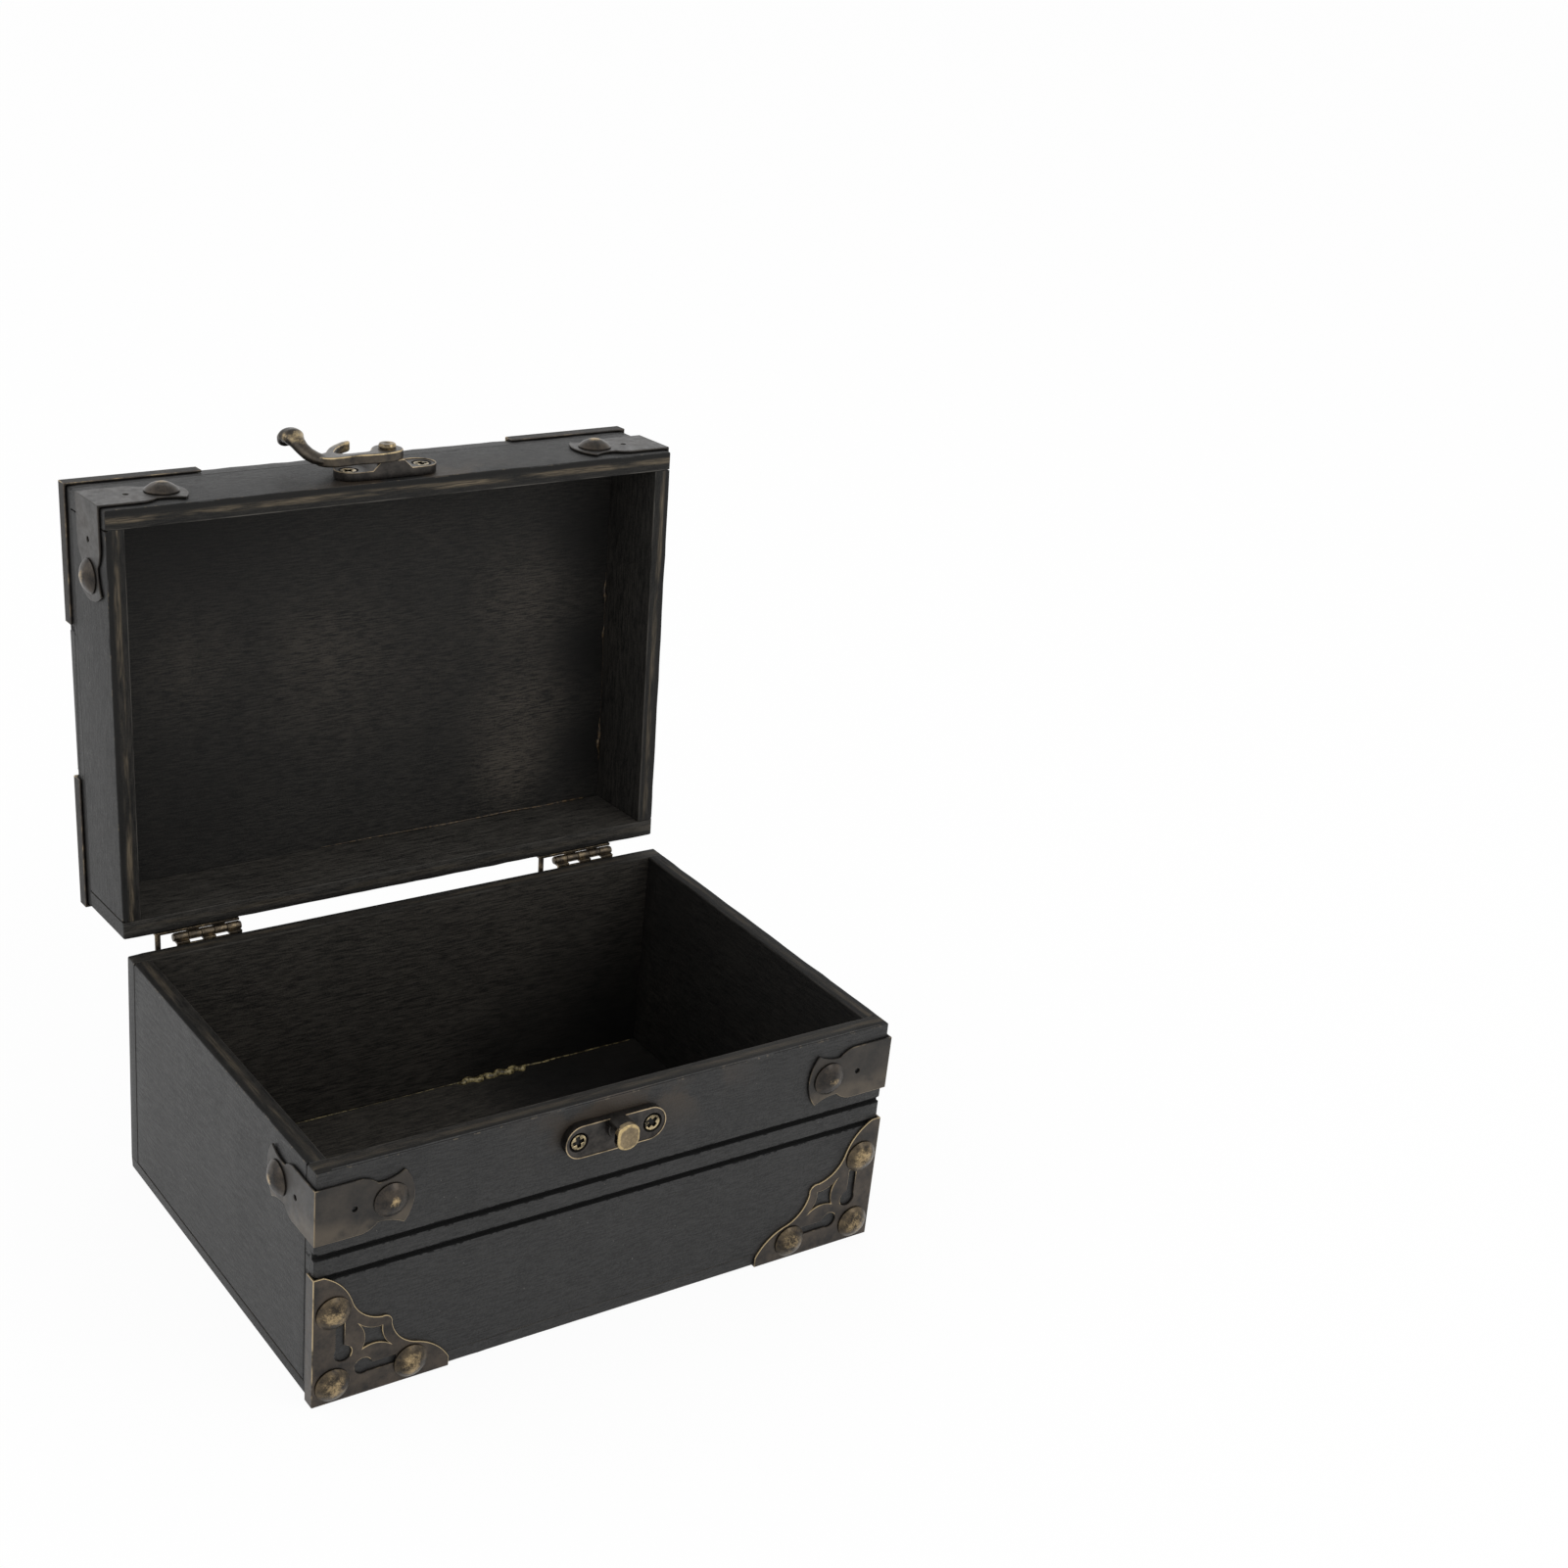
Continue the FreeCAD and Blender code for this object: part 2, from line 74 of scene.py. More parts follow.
# Painted shade: darkens the rims and the places by the walls and in the corners where shade falls
PAINTED_SHADE_DARK = (0.0030, 0.0028, 0.0026, 1)
RUBBED_BROWN = (0.0300, 0.0215, 0.0140, 1)
BARE_PLY = (0.125, 0.099, 0.066, 1)
# A pale line on the inner arris: partly wear, partly painted highlight
ARRIS_WEAR_AND_HIGHLIGHT = (0.110, 0.102, 0.090, 1)
# Painted shade that blackens the saw cuts
CUT_SHADE_BLACK = (0.0010, 0.0010, 0.0010, 1)
DUST = (0.200, 0.190, 0.170, 1)
DULL = (1, 1, 1, 1)
half_width, half_depth, wall = 0.080, 0.056, 0.005
inner_x, inner_y = half_width - wall, half_depth - wall
floor_top, rim_level = 0.0039, 0.0640
# A side of a board is an axis and a direction; an inner face is an axis and its place along it
FRONT, BACK, LEFT, RIGHT, UNDER, OVER = (1, -1), (1, 1), (0, -1), (0, 1), (2, -1), (2, 1)
FRONT_INSIDE, BACK_INSIDE = (1, -inner_y), (1, inner_y)
LEFT_INSIDE, RIGHT_INSIDE = (0, -inner_x), (0, inner_x)
front_cuts = (0.0413, 0.0352)
cut_half, cut_deep, cut_blur, overrun = 0.0008, 0.0014, 0.0001, 0.001
gap_wide, gap_deep = 0.00035, 0.0009
outer_round, inner_round, joint_ease, seam_ease = 0.0007, 0.0003, 0.00012, 0.0004
chip_step, chip_size, chip_depth = 0.004, 0.005, 0.00042
same_plane, face_near = 2e-6, 0.0004
fibre_size, mottle_size, mottle_share = 1900, 70, 0.10
outer_grain, inner_grain = (1.5, 0.55), (1.9, 0.70)
# Pairs are where a pattern or a distance starts to show and where it shows fully
rub_x, rub_side, rub_down, rub_level = 0.004, (0.040, 0.010), (0.018, 0.003), (0.42, 0.58)
nick_size, nick_level, nick_share = 420, (0.57, 0.66), 0.55
speck_size, speck_level, speck_share = 1000, (0.855, 0.88), 0.45
ragged_level, ragged_share = (0.50, 0.60), 0.85
broad_size, broad_level, broad_share = 16, (0.50, 0.74), 0.25
drift_size, streak_level, broken_level, thread_level = 18, (0.40, 0.60), (0.36, 0.62), (0.22, 0.66)
# The rims are darkened with painted shade, most towards their outer side
rim_near, rim_shade_in, rim_shade_least, rim_shade_share = (0.0009, 0.0003), (0.0026, 0.0038), 0.4, 0.75
ply_middle, ply_drift, ply_half = 0.0016, 0.0014, (0.0011, 0.0003)
arris_in, arris_down, arris_level, arris_share = (0.00040, 0.00012), (0.0006, 0.0002), (0.35, 0.6), 0.7
outer_bump, inner_bump, bump_strength = 0.00015, 0.00016, 0.6
# The left board's outer faces get more sheen than the others, so that they show lighter: painted light
board_sheen, left_sheen, inside_sheen = 0.45, 0.52, 0.24
base_bare, seed_step = 0.35, 1.7
joints = {joint["name"]: joint for joint in frame["joints"]}
lid_angle = math.radians(joints["lid_hinge"]["range_deg"][1])
hinge_line = Vector(joints["lid_hinge"]["pos_m"])
lid_turn = Matrix.Rotation(-lid_angle, 4, "X")
lid_swing = Matrix.Translation(hinge_line) @ lid_turn @ Matrix.Translation(-hinge_line)


def pick(piece):
    bpy.ops.object.select_all(action="DESELECT")
    piece.select_set(True)
    bpy.context.view_layer.objects.active = piece


def settle(piece):
    """Puts the piece's place into its mesh."""
    pick(piece)
    bpy.ops.object.transform_apply(location=True, rotation=True, scale=True)


def smooth(piece, angle):
    pick(piece)
    bpy.ops.object.shade_smooth_by_angle(angle=math.radians(angle))


def link(tree, output, socket):
    tree.links.new(output, socket)


def feed(tree, value, socket):
    """Sets a socket to a number or colour, or links it to an output."""
    if isinstance(value, (int, float, tuple)):
        socket.default_value = value
    else:
        link(tree, value, socket)


def math_node(tree, operation, *values):
    node = tree.nodes.new("ShaderNodeMath")
    node.operation = operation
    for socket, value in zip(node.inputs, values):
        feed(tree, value, socket)
    return node.outputs[0]


def product(tree, *values):
    result = values[0]
    for value in values[1:]:
        result = math_node(tree, "MULTIPLY", result, value)
    return result


def total(tree, first, second):
    return math_node(tree, "ADD", first, second)


def distance(tree, value, spot):
    return math_node(tree, "ABSOLUTE", math_node(tree, "SUBTRACT", value, spot))


def fade(tree, value, none, full):
    """0 at none, 1 at full, eased between."""
    node = tree.nodes.new("ShaderNodeMapRange")
    node.interpolation_type = "SMOOTHSTEP"
    node.inputs["From Min"].default_value = none
    node.inputs["From Max"].default_value = full
    link(tree, value, node.inputs["Value"])
    return node.outputs[0]


def ramp_node(tree, value, stops):
    node = tree.nodes.new("ShaderNodeValToRGB")
    ramp = node.color_ramp
    while len(ramp.elements) < len(stops):
        ramp.elements.new(0.5)
    for element, (place, shade) in zip(ramp.elements, stops):
        element.position = place
        element.color = shade if isinstance(shade, tuple) else (shade, shade, shade, 1)
    link(tree, value, node.inputs[0])
    return node.outputs[0]


def mix_colours(tree, share, first, second):
    node = tree.nodes.new("ShaderNodeMix")
    node.data_type = "RGBA"
    for socket, value in ((0, share), (6, first), (7, second)):
        feed(tree, value, node.inputs[socket])
    return node.outputs[2]


def noise_node(tree, place, scale, detail, roughness, stretch=None, offset=0.0):
    mapping = tree.nodes.new("ShaderNodeMapping")
    mapping.inputs["Scale"].default_value = stretch or (1, 1, 1)
    mapping.inputs["Location"].default_value = (offset, offset * 0.7, offset * 1.3)
    link(tree, place, mapping.inputs["Vector"])
    grain = tree.nodes.new("ShaderNodeTexNoise")
    grain.inputs["Scale"].default_value = scale
    grain.inputs["Detail"].default_value = detail
    grain.inputs["Roughness"].default_value = roughness
    link(tree, mapping.outputs[0], grain.inputs["Vector"])
    return grain.outputs[0]


def mark_node(tree, name):
    """Reads a number kept on the points of the piece."""
    node = tree.nodes.new("ShaderNodeAttribute")
    node.attribute_name = name
    return node.outputs["Fac"]


def shut_place(tree, on_lid):
    """Object coordinates, with the lid's turned back to where they are when it is shut."""
    place = tree.nodes.new("ShaderNodeTexCoord").outputs["Object"]
    if not on_lid:
        return place
    mapping = tree.nodes.new("ShaderNodeMapping")
    mapping.inputs["Rotation"].default_value = (lid_angle, 0, 0)
    mapping.inputs["Location"].default_value = lid_swing.inverted().translation
    link(tree, place, mapping.inputs["Vector"])
    return mapping.outputs[0]


def split_place(tree, place):
    node = tree.nodes.new("ShaderNodeSeparateXYZ")
    link(tree, place, node.inputs[0])
    return node.outputs


def new_finish(name):
    material = bpy.data.materials.new(name)
    material.use_nodes = True
    return material, material.node_tree, material.node_tree.nodes["Principled BSDF"]


def grain_bump(tree, shader, height, strength, depth):
    bump = tree.nodes.new("ShaderNodeBump")
    bump.inputs["Strength"].default_value = strength
    bump.inputs["Distance"].default_value = depth
    link(tree, height, bump.inputs["Height"])
    link(tree, bump.outputs[0], shader.inputs["Normal"])


def wood_grain(tree, on_lid, grain, inner, seed, length, straight):
    """Place, its parts, distance from the inner face, fine grain, fibre, mottle and their mix for one board.
    length: how far the long grain is drawn out; straight: its share of the mix, against the short fibre."""
    place = shut_place(tree, on_lid)
    parts = split_place(tree, place)
    axis, plane = inner
    from_inner = distance(tree, parts[axis], plane)
    drawn = tuple(g / length if g == min(grain) else g for g in grain)
    fine = noise_node(tree, place, 1.0, 4.0, 0.65, drawn, seed)
    fibre = noise_node(tree, place, fibre_size, 3.0, 0.6, None, seed)
    mottle = noise_node(tree, place, mottle_size, 4.0, 0.55, None, seed + 3)
    fibre_share = 1 - mottle_share - straight
    tone = total(tree, product(tree, fine, straight), product(tree, fibre, fibre_share))
    tone = total(tree, tone, product(tree, mottle, mottle_share))
    return place, parts, from_inner, fine, fibre, mottle, tone


def stained_outside(name, grain, inner, seed, on_lid, thickness, cuts, sheen):
    """Satin stain of the outer faces, blackened in the saw cuts by painted shade, nicked along the arrises.
    cuts: the axis across each saw cut, and its middle."""
    material, tree, shader = new_finish(name)
    wood = wood_grain(tree, on_lid, grain, inner, seed, *outer_grain)
    place, parts, from_inner, fine, fibre, mottle, tone = wood
    colour = ramp_node(tree, tone, [(0.42, STAIN_BLACK), (0.58, STAIN_GREY)])
    gloss = ramp_node(tree, tone, [(0.40, 0.56), (0.60, 0.45)])
    if inner == FRONT_INSIDE:
        below = fade(tree, distance(tree, parts[2], rim_level), *rub_down)
        beside = fade(tree, distance(tree, parts[0], rub_x), *rub_side)
        smudge = product(tree, below, beside, fade(tree, mottle, *rub_level))
        colour = mix_colours(tree, smudge, colour, RUBBED_BROWN)
    nick_noise = noise_node(tree, place, nick_size, 3.0, 0.7, None, seed + 17)
    nick = product(tree, fade(tree, nick_noise, *nick_level), mark_node(tree, "nicked"), nick_share)
    colour = mix_colours(tree, nick, colour, BARE_PLY)
    speck = fade(tree, noise_node(tree, place, speck_size, 0.0, 0.5, None, seed + 13), *speck_level)
    colour = mix_colours(tree, product(tree, speck, speck_share), colour, DUST)
    sunk = math_node(tree, "SUBTRACT", thickness, from_inner)
    above_floor = fade(tree, sunk, cut_deep + 4 * cut_blur, cut_deep + 2 * cut_blur)
    depth = product(tree, fade(tree, sunk, 0.4 * cut_blur, 2.5 * cut_blur), above_floor)
    # Painted shade: each saw cut, and a ragged fringe along its edges, is painted black
    for cut_axis, spot in cuts:
        across = distance(tree, parts[cut_axis], spot)
        shade = product(tree, depth, fade(tree, across, cut_half + 3 * cut_blur, cut_half + cut_blur))
        beyond = fade(tree, across, cut_half + 5 * cut_blur, cut_half + cut_blur)
        ragged = product(tree, beyond, fade(tree, nick_noise, *ragged_level), ragged_share)
        shade = math_node(tree, "MAXIMUM", shade, ragged)
        colour = mix_colours(tree, shade, colour, CUT_SHADE_BLACK)
        gloss = mix_colours(tree, shade, gloss, DULL)
    link(tree, colour, shader.inputs["Base Color"])
    link(tree, gloss, shader.inputs["Roughness"])
    shader.inputs["Specular IOR Level"].default_value = sheen
    grain_bump(tree, shader, total(tree, product(tree, fine, 0.7), fibre), bump_strength, outer_bump)
    return material


def stained_inside(name, grain, inner, seed, on_lid, shades, painted_light_scale, bare, patches=()):
    """Dull, thinly laid stain of the inner faces and rims, worn to the tan middle ply along the rims.
    Painted shade darkens the rims; the pale line on the inner arris is partly wear, partly painted highlight.
    painted_light_scale: how far the shades are lightened or darkened, as painted light and shade;
    bare: how far the rim is worn;
    patches: centre, radius, shade and strength of thinly stained places, or of painted shade."""
    material, tree, shader = new_finish(name)
    wood = wood_grain(tree, on_lid, grain, inner, seed, *inner_grain)
    place, parts, from_inner, fine, fibre, _, tone = wood
    # Painted light and shade: the board's inside shades are scaled up or down
    dark, brown = [tuple(painted_light_scale * c for c in shade[:3]) + (1,) for shade in shades]
    colour = ramp_node(tree, tone, [(0.40, dark), (0.60, brown)])
    broad = fade(tree, noise_node(tree, place, broad_size, 2.0, 0.5, None, seed + 21), *broad_level)
    streaky = fade(tree, tone, *streak_level)
    colour = mix_colours(tree, product(tree, broad, streaky, broad_share), colour, THIN_STAIN)
    # Patches of thinly stained, lighter wood, or of painted shade
    for centre, radius, shade, strength in patches:
        away = tree.nodes.new("ShaderNodeVectorMath")
        away.operation = "DISTANCE"
        link(tree, place, away.inputs[0])
        away.inputs[1].default_value = centre
        near = product(tree, fade(tree, away.outputs["Value"], radius, 0.0), strength)
        if shade == THIN_STAIN:
            near = product(tree, near, streaky)
        colour = mix_colours(tree, near, colour, shade)
    below = distance(tree, parts[2], rim_level)
    on_rim = fade(tree, below, *rim_near)
    # Painted shade: the rims are darkened, most towards their outer side
    rim_shade = math_node(tree, "MAXIMUM", fade(tree, from_inner, *rim_shade_in), rim_shade_least)
    colour = mix_colours(tree, product(tree, on_rim, rim_shade, rim_shade_share), colour, PAINTED_SHADE_DARK)
    # The middle ply shows as a broken streak that drifts along the rim
    drift = noise_node(tree, place, drift_size, 2.0, 0.5, None, seed + 5)
    middle = total(tree, product(tree, drift, ply_drift), ply_middle)
    off_middle = distance(tree, from_inner, middle)
    broken = noise_node(tree, place, 1.0, 3.0, 0.6, tuple(0.13 * g for g in grain), seed + 9)
    thread = tuple(0.4 * g if g == min(grain) else 1.5 * g for g in grain)
    threads = noise_node(tree, place, 1.0, 2.0, 0.5, thread, seed + 11)
    streak = product(tree, fade(tree, off_middle, *ply_half), on_rim, fade(tree, broken, *broken_level))
    streak = product(tree, streak, fade(tree, threads, *thread_level), bare)
    colour = mix_colours(tree, streak, colour, BARE_PLY)
    # A pale line on the inner arris: partly wear, partly painted highlight
    arris = product(tree, fade(tree, from_inner, *arris_in), fade(tree, below, *arris_down))
    arris = product(tree, arris, fade(tree, broken, *arris_level), arris_share * bare)
    colour = mix_colours(tree, arris, colour, ARRIS_WEAR_AND_HIGHLIGHT)
    link(tree, colour, shader.inputs["Base Color"])
    link(tree, ramp_node(tree, fine, [(0.3, 0.56), (0.7, 0.74)]), shader.inputs["Roughness"])
    shader.inputs["Specular IOR Level"].default_value = inside_sheen
    grain_bump(tree, shader, total(tree, fine, product(tree, fibre, 0.4)), bump_strength, inner_bump)
    return material


def combine(piece, other, operation):
    """Takes another solid out of the piece, or joins it on."""
    combining = piece.modifiers.new("combining", "BOOLEAN")
    combining.operation = operation
    combining.solver = "EXACT"
    combining.object = other
    pick(piece)
    bpy.ops.object.modifier_apply(modifier=combining.name)
    bpy.data.objects.remove(other)


def block(name, low, high):
    bpy.ops.object.select_all(action="DESELECT")
    middle = [(a + b) / 2 for a, b in zip(low, high)]
    bpy.ops.mesh.primitive_cube_add(size=1, location=middle, scale=[b - a for a, b in zip(low, high)])
    piece = bpy.context.active_object
    piece.name = name
    settle(piece)
    return piece


def pick_parts(piece, kind, chosen):
    """Goes into edit mode with only those faces, edges or points selected for which chosen holds."""
    pick(piece)
    bpy.ops.object.mode_set(mode="EDIT")
    bpy.ops.mesh.select_mode(type=kind)
    bpy.ops.mesh.select_all(action="DESELECT")
    bpy.ops.object.mode_set(mode="OBJECT")
    mesh = piece.data
    for part in {"FACE": mesh.polygons, "EDGE": mesh.edges, "VERT": mesh.vertices}[kind]:
        part.select = chosen(part)
    bpy.ops.object.mode_set(mode="EDIT")


def slice_mesh(point, normal, **trim):
    """In edit mode, cuts the mesh along a plane, takes away what trim says, and leaves the cut selected."""
    bpy.ops.mesh.select_mode(type="EDGE")
    bpy.ops.mesh.select_all(action="SELECT")
    bpy.ops.mesh.bisect(plane_co=point, plane_no=normal, **trim)


def round_edges(piece, chosen, radius, segments):
    """Rounds every edge for whose two ends chosen holds."""
    mesh = piece.data
    pick_parts(piece, "EDGE", lambda edge: chosen([mesh.vertices[v].co for v in edge.vertices]))
    bpy.ops.mesh.bevel(offset=radius, segments=segments, affect="EDGES")
    bpy.ops.object.mode_set(mode="OBJECT")


def ease_edges(piece, width, segments=1, angle=50, slot=-1):
    easing = piece.modifiers.new("eased_edge", "BEVEL")
    easing.width = width
    easing.segments = segments
    easing.limit_method = "ANGLE"
    easing.angle_limit = math.radians(angle)
    easing.use_clamp_overlap = False
    easing.material = slot
    pick(piece)
    bpy.ops.object.modifier_apply(modifier=easing.name)


def dent(piece, name, points, size, depth, level):
    """Presses the given points of the piece in by a cloudy pattern."""
    pattern = bpy.data.textures.new(name, "CLOUDS")
    pattern.noise_scale = size
    piece.vertex_groups.new(name=name).add(points, 1.0, "REPLACE")
    denting = piece.modifiers.new(name, "DISPLACE")
    denting.texture = pattern
    denting.strength = depth
    denting.mid_level = level
    denting.vertex_group = name
    pick(piece)
    bpy.ops.object.modifier_apply(modifier=denting.name)


def keep_on_points(mesh, name, values):
    """Keeps one number for each point of the mesh, for the finish to read."""
    marks = mesh.attributes.get(name) or mesh.attributes.new(name, "FLOAT", "POINT")
    marks.data.foreach_set("value", values)


def planed_board(name, low, high, outside, inner, rim_side, cutters, foot=None):
    """A board between two corners: cuts taken out, outside arrises rounded and chipped, the rest eased.
    foot: the two sides whose arris is eased further, so that the seam below shows as a dark line.
    Its inner face and rim take the second material slot."""
    board = block(name, low, high)
    for cut_low, cut_high in cutters:
        combine(board, block("saw", cut_low, cut_high), "DIFFERENCE")
    sides = {(axis, sign): (low if sign < 0 else high)[axis] for axis in range(3) for sign in (-1, 1)}

    def faces_of(ends):
        return {side for side, at in sides.items()
                if all(abs(end[side[0]] - at) < same_plane for end in ends)}

    def is_outside(ends):
        faces = faces_of(ends)
        return len(faces) == 2 and faces <= outside

    def is_inner_rim(ends):
        faces = faces_of(ends)
        return len(faces) == 2 and rim_side in faces and len(faces & outside) == 1

    def is_at_arris(vertex, reach):
        near = [side for side in outside if abs(vertex.co[side[0]] - sides[side]) < reach]
        return len(near) > 1

    round_edges(board, is_outside, outer_round, 4)
    if rim_side:
        round_edges(board, is_inner_rim, inner_round, 2)
    if foot:
        round_edges(board, lambda ends: faces_of(ends) == foot, seam_ease, 1)
    ease_edges(board, joint_ease)
    # Chips along the arrises
    spans = [b - a for a, b in zip(low, high)]
    long_axis = spans.index(max(spans))
    bpy.ops.object.mode_set(mode="EDIT")
    for count in range(1, int(spans[long_axis] / chip_step)):
        point, normal = [0, 0, 0], [0, 0, 0]
        point[long_axis] = low[long_axis] + count * chip_step
        normal[long_axis] = 1
        slice_mesh(point, normal)
    bpy.ops.object.mode_set(mode="OBJECT")
    arris = [v.index for v in board.data.vertices if is_at_arris(v, outer_round)]
    dent(board, "chips", arris, chip_size, chip_depth, 1.0)
    nicked = [1.0 if is_at_arris(v, 0.8 * outer_round) else 0.0 for v in board.data.vertices]
    keep_on_points(board.data, "nicked", nicked)
    for face in board.data.polygons:
        at_inner = abs(face.center[inner[0]] - inner[1]) < face_near
        on_rim = rim_side and abs(face.center.z - rim_level) < face_near and abs(face.normal.z) > 0.8
        face.material_index = 1 if at_inner or on_rim else 0
    smooth(board, 40)
    return board


def joint_gaps(low, high, inner, seam_side):
    """Cutters for the thin gaps on the outer face of a side wall, where it meets the boards round it."""
    inward = -1 if inner[1] > 0 else 1
    outer = (high if inner[1] > 0 else low)[0]
    gaps = []
    for axis, sign in (seam_side, FRONT, BACK):
        edge = (low if sign < 0 else high)[axis]
        gap_low = [a - overrun for a in low]
        gap_high = [b + overrun for b in high]
        gap_low[0], gap_high[0] = sorted((outer - inward * overrun, outer + inward * gap_deep))
        gap_low[axis], gap_high[axis] = sorted((edge + sign * overrun, edge - sign * gap_wide))
        gaps.append((gap_low, gap_high))
    return gaps


def finish_piece(piece, node, body):
    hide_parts(node)
    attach(piece, body)


# Painted shade: patches that darken the floor and the back wall towards the right wall
base_patches = {
    "base_bottom": (
        ((0.066, 0.024, floor_top), 0.062, PAINTED_SHADE_DARK, 0.95),
        ((0.040, 0.044, floor_top), 0.034, PAINTED_SHADE_DARK, 0.8),
    ),
    "base_back": (
        ((0.068, inner_y, 0.006), 0.060, PAINTED_SHADE_DARK, 0.9),
        ((0.030, inner_y, 0.004), 0.030, PAINTED_SHADE_DARK, 0.7),
    ),
}
# The last column scales each board's inside shades as painted light and shade: up for the floor and back wall,
# down for the side walls, most for the right one, where shade falls
for count, (node, grain, outside, inner, rim, painted_light_scale) in enumerate((
    ("base_bottom", ALONG_X, {FRONT, BACK, LEFT, RIGHT, UNDER}, (2, floor_top), None, 1.5),
    ("base_front", ALONG_X, {FRONT, LEFT, RIGHT, OVER}, FRONT_INSIDE, OVER, 1.0),
    ("base_back", ALONG_X, {BACK, LEFT, RIGHT, OVER}, BACK_INSIDE, OVER, 1.3),
    ("base_left", ALONG_Y, {LEFT, OVER}, LEFT_INSIDE, OVER, 0.7),
    ("base_right", ALONG_Y, {RIGHT, OVER}, RIGHT_INSIDE, OVER, 0.32),
)):
    seed = seed_step * count
    low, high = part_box(node)
    saws, cuts = [], []
    if node == "base_front":
        for z in front_cuts:
            saws.append(((-half_width - overrun, -half_depth - overrun, z - cut_half),
                         (half_width + overrun, -half_depth + cut_deep, z + cut_half)))
            cuts.append((2, z))
    if inner in (LEFT_INSIDE, RIGHT_INSIDE):
        saws += joint_gaps(low, high, inner, UNDER)
    inner_side = (inner[0], -1 if inner[1] > 0 else 1)
    foot = {inner_side, UNDER} if rim else None
    board = planed_board("board_" + node, low, high, outside, inner, rim, saws, foot)
    sheen = left_sheen if node == "base_left" else board_sheen
    stain = stained_outside("stain_" + node, grain, inner, seed, False, wall, cuts, sheen)
    patches = base_patches.get(node, ())
    inside = stained_inside("inside_" + node, grain, inner, seed, False, BASE_INSIDE, painted_light_scale, base_bare, patches)
    board.data.materials.append(stain)
    board.data.materials.append(inside)
    finish_piece(board, node, "base")

# Glue squeezed out of the inner seams and left to dry: blobbed where the back board of the base was pressed
# home, and elsewhere a broken thread. In the lid, where the stain took it, it is browner.
GLUE_DARK, GLUE_PALE = (0.048, 0.036, 0.013, 1), (0.360, 0.295, 0.140, 1)
glue_thick, glue_sink, glue_lump, glue_rough, glue_bump = 0.0004, 0.0002, 700, 0.4, (0.5, 0.0003)
mm_per_metre = 1000
base_glue = (
    (-72.0, 0.05), (-52.0, 0.18), (-38.0, 0.05), (-26.0, 0.32), (-14.0, 0.05), (2.0, 0.15),
    (13.0, 0.2), (15.5, 0.6), (17.0, 2.0), (18.6, 3.1), (20.4, 2.0), (22.0, 2.9), (23.8, 1.8), (25.2, 2.7),
    (27.0, 2.0), (28.6, 3.0), (30.2, 2.1), (31.8, 2.8), (33.4, 3.2), (34.8, 1.9), (36.2, 2.7), (37.6, 1.0),
    (40.0, 0.6), (44.0, 0.65), (48.0, 0.5), (52.0, 0.45), (57.0, 0.35), (62.0, 0.4), (67.0, 0.25), (71.0, 0.3),
    (73.5, 0.2),
)


def glue_finish(name, dark, pale):
    material, tree, shader = new_finish(name)
    lumps = noise_node(tree, shut_place(tree, False), glue_lump, 3.0, 0.6)
    link(tree, ramp_node(tree, lumps, [(0.44, dark), (0.60, pale)]), shader.inputs["Base Color"])
    shader.inputs["Roughness"].default_value = glue_rough
    grain_bump(tree, shader, lumps, *glue_bump)
    return material


def add_object(name, data):
    piece = bpy.data.objects.new(name, data)
    bpy.context.scene.collection.objects.link(piece)
    return piece


def glue_bead(name, run, seam, along, away, out):
    """A bead of glue in the seam of a wall and a board.
    run: places along the seam, in millimetres, and how far the glue swells there; seam: the point where they
    start; away and out: directions out of the wall and out of the board."""
    curve = bpy.data.curves.new(name, "CURVE")
    curve.dimensions = "3D"
    curve.bevel_depth = glue_thick
    curve.bevel_resolution = 4
    curve.use_fill_caps = True
    spline = curve.splines.new("BEZIER")
    spline.bezier_points.add(len(run) - 1)
    for count, (point, (reach, swell)) in enumerate(zip(spline.bezier_points, run)):
        forward = glue_sink * (1 + swell * (count % 3))
        place = Vector(seam) + Vector(along) * reach / mm_per_metre
        point.co = place + Vector(away) * forward + Vector(out) * glue_sink
        point.radius = swell
        point.handle_left_type = point.handle_right_type = "AUTO"
    pick(add_object(name, curve))
    bpy.ops.object.convert(target="MESH")
    bpy.ops.object.shade_smooth()
    return bpy.context.active_object


glue = glue_bead("glue_bead", base_glue, (0, inner_y, floor_top), (1, 0, 0), (0, -1, 0), (0, 0, 1))
glue.data.materials.append(glue_finish("dried_glue", GLUE_DARK, GLUE_PALE))
finish_piece(glue, "base_back", "base")

# Lid: a shallow tray of the same boards under a thicker top, which two pairs of saw cuts divide into planks.
# Modelled shut, then swung back with its pieces; its rims are worn through to the tan middle ply, and glue
# stands in two of its inner seams. Painted shade blackens the saw cuts, darkens the rims, the side by the
# right wall and the left corners, and gives the outer faces less sheen; the inside of each board is
# lightened or darkened as painted light and shade.
LID_INSIDE = ((0.0028, 0.0027, 0.0025, 1), (0.0228, 0.0210, 0.0182, 1))
STAINED_GLUE_DARK, STAINED_GLUE_PALE = (0.016, 0.010, 0.005, 1), (0.105, 0.070, 0.034, 1)
top_over, top_board = 0.0924, 0.0057
top_under = top_over - top_board
# The lid's outer faces get less sheen, so that they show darker: painted shade
lid_clear, lid_sheen, lid_seed = 0.00006, 0.38, 9.0
lid_rim = rim_level + lid_clear
top_cuts = (-0.0250, -0.0194, 0.0194, 0.0250)
